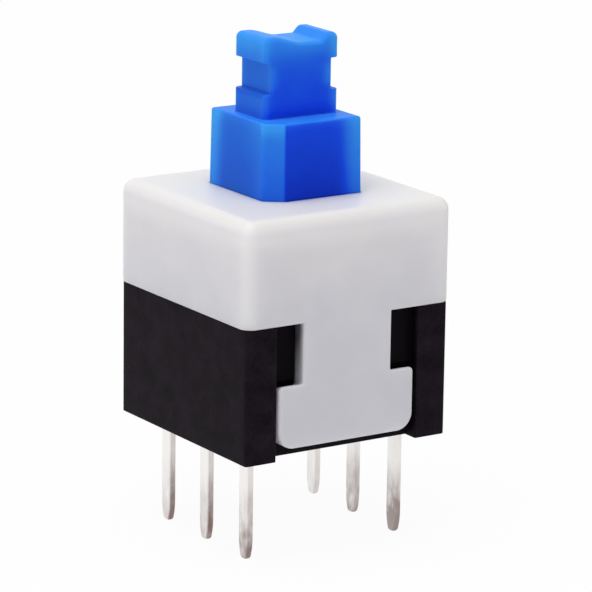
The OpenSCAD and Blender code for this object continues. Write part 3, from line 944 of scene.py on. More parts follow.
@dataclass
class Cover:
    """The white clip-over cover with its two T-shaped tongues."""

    half: float = 4.1
    rim_z: float = 4.65
    top_z: float = 8.25
    ceiling_z: float = 7.25
    edge_r: float = 0.45
    in_x: float = 3.305
    in_y: float = 3.29
    hole_x: float = 1.86
    hole_y: float = 1.96
    hole_chamfer: Pair = (0.673, 0.467)
    neck_x: float = 1.75
    foot_x: float = 2.67
    foot_z: Pair = (0.4, 2.6)
    foot_r: float = 0.6
    shoulder_r: float = 0.18
    undercut: float = 0.3
    undercut_h: float = 0.4
    tongue_t: float = 0.65
    tongue_shift: float = -0.07
    steps: int = 6
    shoulder_steps: int = 2
    soft_w: float = 0.095
    soft_steps: int = 4
    hood_share: float = 0.6

    def _cells(self) -> CellBlock:
        """Fills the hood and the tongues, and empties the cavity and the hole, but for one corner.

        Returns:
            The block of cells.
        """
        edge = arc_lines(self.half, self.edge_r, self.steps)
        foot = arc_lines(self.foot_x, self.foot_r, self.steps)
        start = self.foot_z[0] + self.foot_r
        low = start + self.foot_z[0] - arc_lines(start, self.foot_r, self.steps)
        shoulder = arc_lines(self.foot_x, self.shoulder_r, self.shoulder_steps)[:1]
        cut_x, cut_y = self.hole_x - self.hole_chamfer[0], self.hole_y - self.hole_chamfer[1]
        back = self.half - self.tongue_t
        x = both([*edge, *foot, *shoulder, self.in_x, self.hole_x, cut_x, self.neck_x])
        y = both([*edge, self.in_y, self.hole_y, cut_y, back])
        z = [*low, *arc_lines(self.foot_z[1], self.shoulder_r, self.shoulder_steps), self.rim_z,
             self.ceiling_z, *arc_lines(self.top_z, self.edge_r, self.steps)]
        block = CellBlock(x, y, z)
        h, far = self.half, FAR
        block.set((-h, -h, self.rim_z), (h, h, self.top_z), True)
        for start, end in ((-h, -back), (back, h)):
            block.set((-self.neck_x, start, self.foot_z[1]), (self.neck_x, end, self.rim_z), True)
            block.set((-self.foot_x, start, self.foot_z[0]), (self.foot_x, end, self.foot_z[1]), True)
        block.set((-self.in_x, -self.in_y, -far), (self.in_x, self.in_y, self.ceiling_z), False)
        block.set((-self.hole_x, -self.hole_y, self.ceiling_z), (self.hole_x, self.hole_y, far), False)
        block.set((-self.hole_x, -self.hole_y, self.ceiling_z), (-cut_x, -cut_y, self.top_z), True)
        return block

    def _shaped(self, points: np.ndarray) -> np.ndarray:
        """Rounds the hood and the feet, slopes the feet's shoulders down inwards, sets the tongues a bit to
        one side, and shrinks the square of the hole's filled corner to the triangle under its diagonal.

        Args:
            points: the lattice's points on the skin.

        Returns:
            The moved points.
        """
        inf, half, wide, (low, high) = np.inf, self.half, self.foot_x, self.foot_z
        points = round_box(points, (-half, -half, -inf), (half, half, self.top_z), self.edge_r)
        tongue = (np.abs(points[:, 1]) > self.in_y + TINY) & (points[:, 2] < high + TINY)
        foot = round_box(points[tongue], (-wide, -inf, low), (wide, inf, inf), self.foot_r)
        points[tongue] = round_box(foot, (-wide, -inf, -inf), (wide, inf, high), self.shoulder_r)
        x, y, z = np.abs(points).T
        hook = (x > self.neck_x - TINY) & (y > self.in_y + TINY) & (z < high + TINY)
        slope = self.undercut * np.clip((z - high) / self.undercut_h + 1, 0, 1)
        points[hook, 2] -= ((half - y) * slope)[hook]
        reach = np.where(z < high + TINY, wide, self.neck_x) + TINY
        tongue = (x < reach) & (y > self.in_y + TINY) & (z < self.rim_z + TINY)
        points[tongue, 0] += self.tongue_shift
        start = np.array([-self.hole_x, -self.hole_y])
        share = (points[:, :2] - start) / self.hole_chamfer
        corner = np.all((share > -TINY) & (share < 1 + TINY), axis=1) & (z > self.rim_z)
        share *= (share.max(1) / np.maximum(share.sum(1), TINY))[:, None]
        points[corner, :2] = (start + share * self.hole_chamfer)[corner]
        return points

    def _edge_shares(self, middle: np.ndarray) -> np.ndarray:
        """Full rounding on the tongues, less on the hood, none on the hole.

        Args:
            middle: middles of the edges.

        Returns:
            The share of each edge.
        """
        x, y, z = np.abs(middle).T
        hole = (x < self.hole_x + NEAR) & (y < self.hole_y + NEAR)
        return np.where(z < self.rim_z - NEAR, 1.0, np.where(hole, 0.0, self.hood_share))

    def build(self) -> bpy.types.Object:
        """Makes the cover with soft edges.

        Returns:
            The new object.
        """
        skin = self._cells().skin()
        skin.points = self._shaped(skin.points)
        obj = skin.piece("clip_cover", WHITE, "housing", "cover")
        soften(obj, self.soft_w, self.soft_steps, self._edge_shares)
        return obj


@dataclass(frozen=True)
class PaintedLight:
    """Painted light and shade on the plunger's places, from 0 to 1: glow at the edges, head, cut corner and
    sides, and painted shadow at the notch's ledge and the stem's foot; a pair also holds the millimetres
    over which it fades."""

    edges: Pair = (0.54, 0.7)
    flank: float = 0.19
    flank_near: Pair = (0.22, 0.7)
    cut: float = 0.41
    cut_top: Pair = (0.36, 0.35)
    block: float = 0.05
    block_rise: float = 0.3
    block_top: Pair = (0.12, 0.22)
    step: float = 0.22
    stem: float = 0.4
    # painted shadow round the stem's foot
    stem_foot: Pair = (0.2, 0.25)
    head: Pair = (0.42, 0.75)
    stem_flank: float = 0.12
    stem_near: Pair = (0.16, 0.25)
    stem_right: Pair = (0.35, 0.3)
    stem_left: Pair = (0.16, 0.2)
    # painted shadow under the notch's ledge
    ledge_shadow: Pair = (0.3, 0.06)
    notch_run: float = 0.3
    poles: Pair = (0.3, 0.75)
    studs: float = 0.3


@dataclass
class Plunger:
    """The blue plunger: block with spring pocket, cam groove and keeper ears, and the notched stem."""

    block: Spec = (1.825, 1.925, 0.55, 0.05)
    stem: Spec = (1.45, 0.975, 0.1, 0.1)
    notch: Spec = (1.18, 0.975, 0.05, 0.05)
    key_skew: float = 0.18
    key_soft: float = 5.0
    key_side: int = 5
    draft: float = 0.045
    cover_z: float = 8.25
    skirt_z: float = 3.4
    block_z: float = 10.85
    notch_z: Pair = (11.68, 12.75)
    top_z: float = 13.6
    pocket_r: float = 1.2
    pocket_z: float = 7.6
    ear_x: float = 2.755
    ear_y: float = 1.5
    ear_z: Pair = (6.2, 7.2)
    edge_r: float = 0.07
    corner_r: float = 0.06
    corner_room: float = 0.42
    corner_points: int = 5
    head_r: float = 0.21
    stem_foot: float = 0.03
    notch_r: float = 0.035
    notch_slope: float = 0.008
    row_gaps: tuple[float, float, float, float] = (0.15, 0.12, 0.1, 0.04)
    edge_rows: int = 5
    head_rows: int = 9
    notch_rows: int = 4
    stem_rows: tuple[int, int, int] = (5, 6, 6)
    trough_x: Pair = (-1.05, 1.06)
    trough_fall: Pair = (1.15, 0.3)
    trough_depth: float = 0.245
    trough_base: float = 0.2
    cam_z: float = 4.2
    cam_rows: tuple[float, float, float] = (-0.3, 2.82, 0.03)
    upper_rows: tuple[float, float, int] = (3.1, 0.1, 24)
    wall_half: float = 0.012
    lane_r: float = 0.26
    lane_wall: float = 0.02
    ramp_tight: float = 0.03
    cam_depth: float = 0.4
    cam_step: float = 0.1
    cam_route: tuple[Pair, ...] = (
        (0.0, 0.0), (0.3, 2.5), (-0.45, 1.8), (-0.801, 2.448), (-1.05, 1.9), (-1.05, 0.9))
    stud_y: float = 1.0
    stud_z: float = 5.5
    stud_rows: tuple[Pair, ...] = (
        (0.3, 0.0), (0.3, 0.168), (0.42, 0.17), (0.45, 0.2), (0.45, 0.25), (0.4, 0.285), (0.2, 0.29))
    stud_steps: int = 32
    side_points: int = 33
    side_reach: float = 0.96
    side_gap: float = 0.03
    ring_steps: tuple[int, int, int, int] = (3, 8, 100, 40)
    pocket_rings: Pair = (0.3, 0.8)
    pocket_flare: float = 0.05
    pocket_rows: int = 16
    crown_shares: tuple[float, float, float] = (0.98, 0.95, 0.03)
    crown_rows: int = 47
    # painted light and shade on the plunger
    glow: PaintedLight = PaintedLight()

    def _fractions(self) -> list[np.ndarray]:
        """Places of the points along each side of a ring: fine where the cam groove and the ears are.

        Returns:
            For each of the eight sides, shares of the way along it.
        """
        _, hy, key, cut = self.block
        high, low = hy - cut, key * (1 - self.key_skew) - hy
        walls = both([self.ear_y - self.wall_half, self.ear_y + self.wall_half])
        even = np.linspace(-self.side_reach, self.side_reach, self.side_points) * high
        face = np.sort(np.concatenate([even, walls]))
        right = (face + high) / (2 * high)
        left = (high - face[face > low + self.side_gap][::-1]) / (high - low)
        corner, chamfer, back, front = (np.linspace(0, 1, n + 1)[1:-1] for n in self.ring_steps)
        return [right, corner, back, corner, left, chamfer, front, corner]

    def _rings(self, rows: np.ndarray) -> np.ndarray:
        """Rings of a rectangle with one large and three small cut corners, each rounded by quadratic
        curves. The large cut is longer across the front than across the side, and softer at its side end.

        Args:
            rows: half width, half depth, large and small chamfer and height of each ring.

        Returns:
            Array of rings, points and three coordinates.
        """
        hx, hy, key, c, z = rows.T
        wide, deep = key * (1 + self.key_skew), key * (1 - self.key_skew)
        x = np.stack([hx, hx, hx - c, c - hx, -hx, -hx, wide - hx, hx - c], 1)
        y = np.stack([c - hy, hy - c, hy, hy, hy - c, deep - hy, -hy, -hy], 1)
        corner = np.stack([x, y], -1)
        ahead = np.roll(corner, -1, 1) - corner
        length = np.linalg.norm(ahead, axis=2)
        ahead /= np.maximum(length, TINY)[..., None]
        room = self.corner_room * np.minimum(length, np.roll(length, 1, 1))
        radius = self.corner_r * np.where(np.arange(8) == self.key_side, self.key_soft, 1.0)
        reach = np.minimum(radius * math.tan(math.pi / 8), room)[..., None]
        start, end = corner - reach * np.roll(ahead, 1, 1), corner + reach * ahead
        t = np.linspace(0, 1, self.corner_points)[:, None]
        parts = []
        for k, share in enumerate(self._fractions()):
            a, p, b = start[:, None, k], corner[:, None, k], end[:, None, k]
            parts.append((1 - t) ** 2 * a + 2 * t * (1 - t) * p + t ** 2 * b)
            stop = start[:, None, (k + 1) % 8]
            parts.append(b + (stop - b) * share[:, None])
        flat = np.concatenate(parts, 1)
        return np.concatenate([flat, np.broadcast_to(z[:, None, None], (*flat.shape[:2], 1))], 2)

    @staticmethod
    def _rows(spec: Spec, inset: Any, z: Any) -> np.ndarray:
        """Rows for _rings with the whole outline moved in: a chamfer loses 2 less root 2 of the inset.

        Args:
            spec: half width, half depth, large and small chamfer.
            inset: how far the outline is moved in, one value or one for each row.
            z: the rows' heights.

        Returns:
            The rows.
        """
        inset, z = np.broadcast_arrays(np.atleast_1d(np.asarray(inset, float)), np.asarray(z, float))
        hx, hy, key, c = spec
        key, c = (np.maximum(size - inset * (2 - math.sqrt(2)), LEAST_CUT) for size in (key, c))
        return np.stack([hx - inset, hy - inset, key, c, z], 1)

    def _outside(self) -> np.ndarray:
        """Rows from the skirt's lower edge up the block, over its top, up the notched stem and over the
        head. The notch's corners are rounded by quarter ellipses.

        Returns:
            Rows for _rings, without repeats.
        """
        e, hr, top = self.edge_r, self.head_r, self.block_z
        q = np.linspace(0, math.pi / 2, self.edge_rows)
        rise, fall = e * (1 - np.cos(q)), e * (1 - np.sin(q))
        ears = np.add.outer(np.array(self.ear_z), both([self.wall_half])).ravel()
        first, last, step = self.cam_rows
        cam = np.arange(self.cam_z + first, self.cam_z + last, step)
        above, below, count = self.upper_rows
        upper = np.linspace(self.cam_z + above, top - e - below, count)
        wall = np.sort(np.concatenate([cam, ears, upper]))
        n0, n1 = self.notch_z
        s, slope = self.notch_r, self.notch_slope
        ease = np.linspace(0, 1, self.notch_rows)
        into = s / (self.stem[0] - self.notch[0])
        enter, leave = into * ease ** 2, into * (1 - ease) ** 2
        bow, sag = s * np.sqrt(1 - (1 - ease) ** 2), s * (1 - np.sqrt(1 - ease ** 2))
        collar, inside, neck, brow = self.row_gaps
        lower, middle, upmost = self.stem_rows

        def section(share: Any, z: np.ndarray) -> np.ndarray:
            """Rows between the stem's section and the notch's, by a share of the notch's."""
            full, cut = (self._rows(spec, 0.0, z) for spec in (self.stem, self.notch))
            return full + (cut - full) * np.broadcast_to(share, z.shape)[:, None]

        hq = np.linspace(0, math.pi / 2, self.head_rows)
        lean = self.draft * np.clip((wall - self.cover_z) / (top - self.cover_z), 0, 1)
        foot = e + self.stem_foot
        rows = np.concatenate([
            self._rows(self.block, fall, self.skirt_z + rise),
            self._rows(self.block, lean, wall),
            self._rows(self.block, self.draft + np.append(rise, foot), top - np.append(fall, 0)),
            self._rows(self.stem, -np.append(foot, fall), top + np.append(0, rise)),
            section(0.0, np.linspace(top + collar, n0 - s, lower)),
            section(enter, n0 - s + bow),
            section(1 - leave, n0 + slope + sag),
            section(1.0, np.linspace(n0 + inside, n1 - inside, middle)),
            section(1 - enter, n1 - slope - s + bow),
            section(leave, n1 + sag),
            section(0.0, np.linspace(n1 + neck, self.top_z - hr - brow, upmost)),
            self._rows(self.stem, hr * (1 - np.cos(hq)), self.top_z - hr + hr * np.sin(hq))])
        return rows[np.append(True, np.abs(np.diff(rows, axis=0)).max(1) > TINY)]

    def _groove(self, x: np.ndarray, z: np.ndarray) -> np.ndarray:
        """Depth of the cam groove: the deepest lane whose centre line is nearer than its radius, with a
        steep smooth wall. The last lane is a ramp back to the start.

        Args:
            x: places across the plunger.
            z: heights.

        Returns:
            Depth below the face at each place.
        """
        deep = self.cam_depth + np.array([0, 1, 2, 2, 2]) * self.cam_step
        stops = np.array(self.cam_route)
        starts, ends = stops, np.roll(stops, -1, 0)
        first, last = np.append(deep, deep[-1]), np.append(deep, self.cam_depth)
        radius = np.full(len(stops), self.lane_r)
        radius[-1] -= self.ramp_tight
        run = ends - starts
        offset = np.stack([x, z - self.cam_z], -1)[..., None, :] - starts
        along = np.clip((offset * run).sum(-1) / (run ** 2).sum(-1), 0, 1)
        gap = np.linalg.norm(offset - along[..., None] * run, axis=-1)
        wall = np.clip((radius + self.lane_wall - gap) / (2 * self.lane_wall), 0, 1)
        return ((first + (last - first) * along) * wall * wall * (3 - 2 * wall)).max(-1)

    def _relief(self, rings: np.ndarray) -> np.ndarray:
        """Sinks the cam groove into the back face, draws the ears out of the sides and dips the trough.

        Args:
            rings: the plunger's plain rings.

        Returns:
            The rings with the relief.
        """
        x, y, z = np.moveaxis(rings, -1, 0)
        hx, hy, _, c = self.block
        in_block = (z > self.skirt_z + self.edge_r) & (z < self.cover_z)
        back = in_block & (y > hy - TINY) & (np.abs(x) < hx - 2 * c)
        y = y - np.where(back, self._groove(x, z), 0.0)
        ear = in_block & (np.abs(x) > hx - TINY) & (np.abs(y) < self.ear_y)
        ear &= (z > self.ear_z[0]) & (z < self.ear_z[1])
        x = np.where(ear, np.sign(x) * self.ear_x, x)
        slow = np.clip((x - self.trough_x[0]) / self.trough_fall[0], 0, 1)
        steep = np.clip((self.trough_x[1] - x) / self.trough_fall[1], 0, 1)
        dip = self.trough_depth * slow ** 2 * (3 - 2 * slow) * steep ** 2 * (3 - 2 * steep)
        low = self.notch_z[1] + self.trough_base
        z = z - dip * np.clip((z - low) / (self.top_z - low), 0, 1)
        return np.stack([x, y, z], -1)

    def _sides(self) -> np.ndarray:
        """Number of the side, anticlockwise from the +X face, that each point of a ring lies on."""
        return np.repeat(np.arange(8), [self.corner_points + len(part) for part in self._fractions()])

    def _dull(self, rings: np.ndarray) -> np.ndarray:
        """How dull the moulding is: 1 on the two sides, half on the cut corner, 0 on level faces.

        Args:
            rings: the plunger's plain rings.

        Returns:
            The value at each point of each ring.
        """
        z, side = rings[..., 2], self._sides()
        share = np.where(side % 4 == 0, 1.0, np.where(side == self.key_side, 0.5, 0.0))
        step = np.clip(np.abs(z - self.block_z) / self.edge_r, 0, 1)
        return share * step * np.clip((self.top_z - z) / self.head_r, 0, 1)

    def _painted_light(self, rings: np.ndarray) -> np.ndarray:
        """Painted light and shade on the moulding, from 0 to 1, for light through it: bell curves of the
        distance from the block's upright edges and upper edge and from the stem's head and edges, with more
        on the cut corner and the sides, and painted shadow at the notch's ledge and the stem's foot.

        Args:
            rings: the plunger's rings before the relief.

        Returns:
            The value at each point of each ring.
        """
        x, y, z = np.moveaxis(rings, -1, 0)
        hx, hy, key, _ = self.block
        key *= 1 - self.key_skew
        side, g = self._sides(), self.glow
        flank, cut, front = side % 4 == 0, side == self.key_side, side == self.key_side + 1

        def bell(gap: np.ndarray, fade: Pair, power: int = 2) -> np.ndarray:
            """Falls from the fade's share over its width; a higher power has a flatter top."""
            return fade[0] * np.exp(-np.abs(gap / fade[1]) ** power)

        right, far, left, near = (bell(gap, g.edges, 3) for gap in (hx - x, hy - y, hx + x, hy + y))
        faces = np.select([side == 0, side == 2, side == 4, cut, front],
                          [np.maximum(far, near), np.maximum(left, right), far, 0 * far, right], g.edges[0])
        upper = self.block_z - z
        faces += np.where(flank, g.flank + bell(y + hy - key, g.flank_near), 0.0)
        faces += np.where(cut, g.cut + bell(upper, g.cut_top), 0.0)
        on_face = np.clip(upper / self.edge_r, 0, 1)
        rise = np.clip(1 - upper / (self.block_z - self.cover_z), 0, 1)
        # painted light: the block paler towards its top and upper edge
        block = g.block + g.block_rise * rise + bell(upper, g.block_top)
        block += faces * on_face + g.step * (1 - on_face)
        n0, n1 = self.notch_z
        in_notch = np.clip((z - n0) / g.notch_run, 0, 1) * np.clip((n1 - z) / g.notch_run, 0, 1)
        wide = self.stem[0] - (self.stem[0] - self.notch[0]) * in_notch
        # painted shadow at the notch's ledge, painted light near the stem's edges
        sides = g.stem_flank - bell(z - n0, g.ledge_shadow) + bell(self.stem[1] - np.abs(y), g.stem_near)
        edges = np.where(flank, sides, bell(wide - x, g.stem_right) + bell(wide + x, g.stem_left))
        # painted light at the head, painted shadow at the stem's foot
        stem = g.stem + bell(self.top_z - z, g.head) - bell(upper, g.stem_foot)
        stem += edges * np.clip((self.top_z - z) / self.head_r, 0, 1)
        return np.clip(np.where(upper < -NEAR, stem, block), 0, 1)

    def _stud(self) -> Surface:
        """Clip stud on the +X face: rings about its axis from its foot out to the staked head.

        Returns:
            The stud's skin.
        """
        turn = np.linspace(0, 2 * math.pi, self.stud_steps + 1)[:-1]
        rows = np.array(self.stud_rows)
        r, out = rows[:, :1], np.broadcast_to(rows[:, 1:], (len(rows), len(turn)))
        y, z = self.stud_y + r * np.cos(turn), self.stud_z + r * np.sin(turn)
        return loft(np.stack([self.block[0] + out, y, z], -1), Ends.POLES)

    def build(self) -> list[bpy.types.Object]:
        """Makes the plunger and its studs.

        Returns:
            The two new objects.
        """
        outer = self._rings(self._outside())
        turn = np.arctan2(outer[4, :, 1], outer[4, :, 0])
        flare, count = self.pocket_flare, self.pocket_rows
        down = np.linspace(self.pocket_z, self.skirt_z + flare, count)
        bore = np.vstack([[[r, self.pocket_z] for r in self.pocket_rings],
                          np.stack([np.full(count, self.pocket_r), down], 1),
                          [[self.pocket_r + flare, self.skirt_z]]])
        r, z = bore[:, :1], np.broadcast_to(bore[:, 1:], (len(bore), len(turn)))
        pocket = np.stack([r * np.cos(turn), r * np.sin(turn), z], -1)
        rim = outer[-1]
        first, start, end = self.crown_shares
        inward = np.append(first, np.linspace(start, end, self.crown_rows))[:, None, None]
        level = np.broadcast_to(rim[None, :, 2:], (len(inward), len(turn), 1))
        crown = np.concatenate([rim[None, :, :2] * inward, level], 2)
        rings = np.concatenate([pocket, outer, crown])
        skin = loft(self._relief(rings), Ends.POLES)
        # painted light and shade for the blue material, carried as the mesh value thin
        skin.values["thin"] = np.append(self._painted_light(rings), self.glow.poles)
        skin.values["dull"] = np.append(self._dull(rings), (0, 0))
        body = skin.piece("press_plunger", BLUE, "plunger", "plunger")
        stud = self._stud()
        right = stud.joined(stud.mirrored(1, -1, 1))
        studs = right.joined(right.mirrored(-1, 1, 1))
        # an even share of painted light on the studs
        studs.values["thin"] = np.full(len(studs.points), self.glow.studs)
        studs.values["dull"] = np.ones(len(studs.points))
        return [body, studs.piece("clip_studs", BLUE, "plunger", "plunger")]


class Row(Enum):
    """The two rows of terminals, by the side that they stand on."""

    LEFT = -1
    RIGHT = 1


class Throw(Enum):
    """What a terminal does in the switch."""

    COMMON = "common"
    CLOSED = "closed"
    OPEN = "open"


# How far each terminal's tip is dulled and its edges are bare, against an average of 1.
WEAR = {(Row.LEFT, Throw.CLOSED): (0.55, 1.0), (Row.LEFT, Throw.COMMON): (0.9, 1.1),
        (Row.LEFT, Throw.OPEN): (1.5, 0.75), (Row.RIGHT, Throw.CLOSED): (0.3, 0.35),
        (Row.RIGHT, Throw.COMMON): (1.25, 0.45), (Row.RIGHT, Throw.OPEN): (1.9, 0.5)}


@dataclass
class Terminal:
    """A stamped terminal: pin with an ogive tip, shoulder, and the blade or flag that a finger touches."""

    row: Row
    throw: Throw
    soil: float
    bare: float
    sheet: Pair = (2.875, 3.125)
    pitch: float = 2.5
    half_w: float = 0.275
    tip_z: float = -3.7
    tip_l: float = 0.75
    floor_z: float = 0.8
    shoulder_z: float = 1.1
    shoulder_half: float = 0.42
    blade_half: float = 0.6
    blade_z: float = 4.55
    flag_y: float = 1.275
    closed_z: Pair = (3.25, 4.55)
    open_z: Pair = (1.1, 2.4)
    edge_r: float = 0.06
    edge_most: float = 0.95
    taper: float = 0.5
    tip_rows: int = 13
    tip_crowd: float = 1.5
    tip_narrow: Shares = (0.075, 0.022, 0.004)
    tip_thin: Shares = (0.075, 0.03, 0.01)
    shaft_start: float = 0.2
    shaft_rows: int = 12
    flag_rise: float = 0.01
    top_cut: Pair = (0.04, 0.05)
    worn_z: Pair = (-1.2, 2.0)
    bare_shares: Pair = (0.32, 0.6)

    def _steps(self) -> np.ndarray:
        """Rows of height, low edge, high edge and thinning from the tip up, two at each step of the
        outline. Near the tip the full half width loses the taper times the square of the distance to its
        start.

        Returns:
            The rows.
        """
        s = np.linspace(0, 1, self.tip_rows) ** self.tip_crowd
        half = self.half_w * (1 - self.taper * (1 - s) ** 2)
        half[:len(self.tip_narrow)] -= self.tip_narrow
        thin = np.zeros(self.tip_rows)
        thin[:len(self.tip_thin)] = self.tip_thin
        pin = np.stack([self.tip_z + self.tip_l * s, -half, half, thin], 1)
        w, sh, up, floor = self.half_w, self.shoulder_half, self.shoulder_z, self.floor_z
        levels = np.linspace(self.tip_z + self.tip_l + self.shaft_start, floor, self.shaft_rows)
        shaft = [[z, -w, w, 0] for z in levels]
        if self.throw is Throw.COMMON:
            far, near, high = -self.blade_half, self.blade_half, self.blade_z
            rest = [[floor, far, near, 0]]
        else:
            far, near = self.flag_y - self.pitch, w
            low, high = self.closed_z if self.throw is Throw.CLOSED else self.open_z
            neck = [[up, -w, w, 0], [low, -w, w, 0]] if low > up else []
            rest = [[floor, -sh, sh, 0], [up, -sh, sh, 0], *neck, [low + self.flag_rise, far, near, 0]]
        down, cut = self.top_cut
        top = [[high - down, far, near, 0], [high, far + cut, near - cut, cut]]
        return np.vstack([pin, shaft, rest, top])

    @staticmethod
    def _turn() -> np.ndarray:
        """Angles of a ring's points: five over each quarter."""
        return np.radians((np.arange(4)[:, None] * 90 + np.linspace(0, 90, 5)).ravel())

    def _rings(self, steps: np.ndarray) -> np.ndarray:
        """Rounded rectangles, one at each row: four quarter circles about the section's inner corners.

        Args:
            steps: rows of height, low edge, high edge and thinning.

        Returns:
            Array of rings, points and three coordinates.
        """
        z, low, high, thin = steps.T
        turn = self._turn()
        quarter = np.repeat(np.arange(4), len(turn) // 4)
        sx, sy = np.array([1, -1, -1, 1])[quarter], np.array([1, 1, -1, -1])[quarter]
        x0, x1 = self.sheet
        mid_x, mid_y = (x0 + x1) / 2, ((low + high) / 2)[:, None]
        hx, hy = ((x1 - x0) / 2 - thin)[:, None], ((high - low) / 2)[:, None]
        r = np.minimum(self.edge_r, np.minimum(hy, hx) * self.edge_most)
        x = mid_x + sx * (hx - r) + r * np.cos(turn)
        y = mid_y + sy * (hy - r) + r * np.sin(turn)
        return np.stack([x, y, np.broadcast_to(z[:, None], x.shape)], -1)

    def build(self) -> bpy.types.Object:
        """Makes the terminal in its place.

        Returns:
            The new object.
        """
        rings = self._rings(self._steps())
        skin = loft(rings, Ends.POLES)
        edge = np.append(np.tile(np.sin(self._turn()), len(rings)) ** 2, (1, 1))
        start, run = self.worn_z
        tip = np.clip((start - skin.points[:, 2]) / run, 0, 1)
        skin.values["sheared"] = self.bare * edge * (self.bare_shares[0] + self.bare_shares[1] * tip)
        skin.values["tip"] = self.soil * tip
        if self.throw is not Throw.COMMON:
            skin.points[:, 1] += self.pitch
        skin = skin.mirrored(self.row.value, -1 if self.throw is Throw.OPEN else 1, 1)
        name = f"{self.row.name.lower()}_{self.throw.value}"
        return skin.piece(f"pin_{name}", TIN, "housing", f"terminal_{name}")


@dataclass
class Spring:
    """The return spring: a helix with closed end turns."""

    radius: float = 0.925
    wire: float = 0.125
    turns: int = 8
    low_z: float = 0.8
    high_z: float = 7.55
    end_share: float = 1.12
    steps: int = 56
    sides: int = 20
    keep: float = 0.6296

    def build(self) -> bpy.types.Object:
        """Wire section carried along the helix: radius plus the wire's cosine, height plus its sine.

        Returns:
            The new object.
        """
        t = np.linspace(0, self.turns, self.turns * self.steps + 1)
        end = self.end_share * 2 * self.wire
        pitch = (self.high_z - self.low_z - 2 * self.wire - 2 * end) / (self.turns - 2)
        climb = np.interp(t, [0, 1, self.turns - 1, self.turns],
                          np.cumsum([0, end, pitch * (self.turns - 2), end]))[:, None]
        side = -np.linspace(0, 2 * math.pi, self.sides + 1)[:-1]
        r = self.radius + self.wire * np.cos(side)
        turn = (2 * math.pi * t)[:, None]
        z = self.low_z + self.wire + climb + self.wire * np.sin(side)
        skin = loft(np.stack([r * np.cos(turn), r * np.sin(turn), z], -1), Ends.POLES)
        obj = skin.piece("coil_spring", STEEL, "housing", "return_spring")
        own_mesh(obj)
        return obj


@dataclass
class LockPin:
    """The lock pin: a bent wire from its pivot hole up to the cam groove."""

    radius: float = 0.2
    bend_r: float = 0.3
    leg_y: float = 3.35
    arm_y: float = 2.325
    tip_y: float = 1.565
    pivot_z: float = 1.3
    tip_z: float = 4.2
    dome: tuple[Pair, ...] = ((0.0, 0.65), (0.02, 0.9), (0.06, 1.0))
    bend_steps: int = 12
    sides: int = 24

    @staticmethod
    def _ahead(line: np.ndarray) -> np.ndarray:
        """Unit vectors along a line at each of its points."""
        ahead = np.gradient(line, axis=0)
        return ahead / np.linalg.norm(ahead, axis=1)[:, None]

    def build(self) -> bpy.types.Object:
        """Circle carried along a line with two quarter bends in the Y-Z plane, with domed ends.

        Returns:
            The new object.
        """
        b, q = self.bend_r, np.linspace(0, math.pi / 2, self.bend_steps + 1)
        first = np.stack([self.arm_y + b - b * np.sin(q), self.pivot_z + b - b * np.cos(q)], 1)
        second = np.stack([self.arm_y - b + b * np.cos(q), self.tip_z - b + b * np.sin(q)], 1)
        line = np.vstack([[[self.leg_y, self.pivot_z]], first, second, [[self.tip_y, self.tip_z]]])
        ahead = self._ahead(line)
        cap, size = np.array(self.dome).T
        head = line[0] + np.outer(cap, ahead[0])
        tail = line[-1] - np.outer(cap[::-1], ahead[-1])
        line = np.vstack([head, line[1:-1], tail])
        size = np.concatenate([size, np.ones(len(line) - 2 * len(cap)), size[::-1]])[:, None] * self.radius
        ahead = self._ahead(line)
        turn = np.linspace(0, 2 * math.pi, self.sides + 1)[:-1]
        y = line[:, :1] + ahead[:, 1:] * size * np.sin(turn)
        z = line[:, 1:] - ahead[:, :1] * size * np.sin(turn)
        skin = loft(np.stack([size * np.cos(turn), y, z], -1), Ends.POLES)
        return skin.piece("lock_wire", STEEL, "latch", "lock_pin")


@dataclass
class Contacts:
    """The two bronze contact clips, whose CAD shape is right and stays."""

    nodes: tuple[str, ...] = ("contact_left", "contact_right")

    def build(self) -> None:
        """Gives the clips their finish."""
        for name in self.nodes:
            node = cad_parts[name]
            node.data.materials.clear()
            node.data.materials.append(BRONZE.material())
            LOG.info("%s: %s on the CAD node", name, BRONZE.name)


@dataclass
class Lamp:
    """A square soft lamp that faces the object."""

    name: str
    toward: tuple[float, float, float]
    level: float
    size_mm: float
    distance_mm: float = 300.0

    def build(self, aim: Vector) -> bpy.types.Object:
        """Hangs the lamp; its power is the level times pi squared times the distance squared.

        Args:
            aim: the point that it faces, in metres.

        Returns:
            The lamp.
        """
        data = bpy.data.lights.new(self.name, "AREA")
        data.shape = "SQUARE"
        data.size = self.size_mm * MM
        away = self.distance_mm * MM
        data.energy = self.level * math.pi ** 2 * away ** 2
        lamp = linked(self.name, data)
        back = Vector(self.toward).normalized()
        lamp.location = aim + back * away
        lamp.rotation_euler = (-back).to_track_quat("-Z", "Y").to_euler()
        return lamp


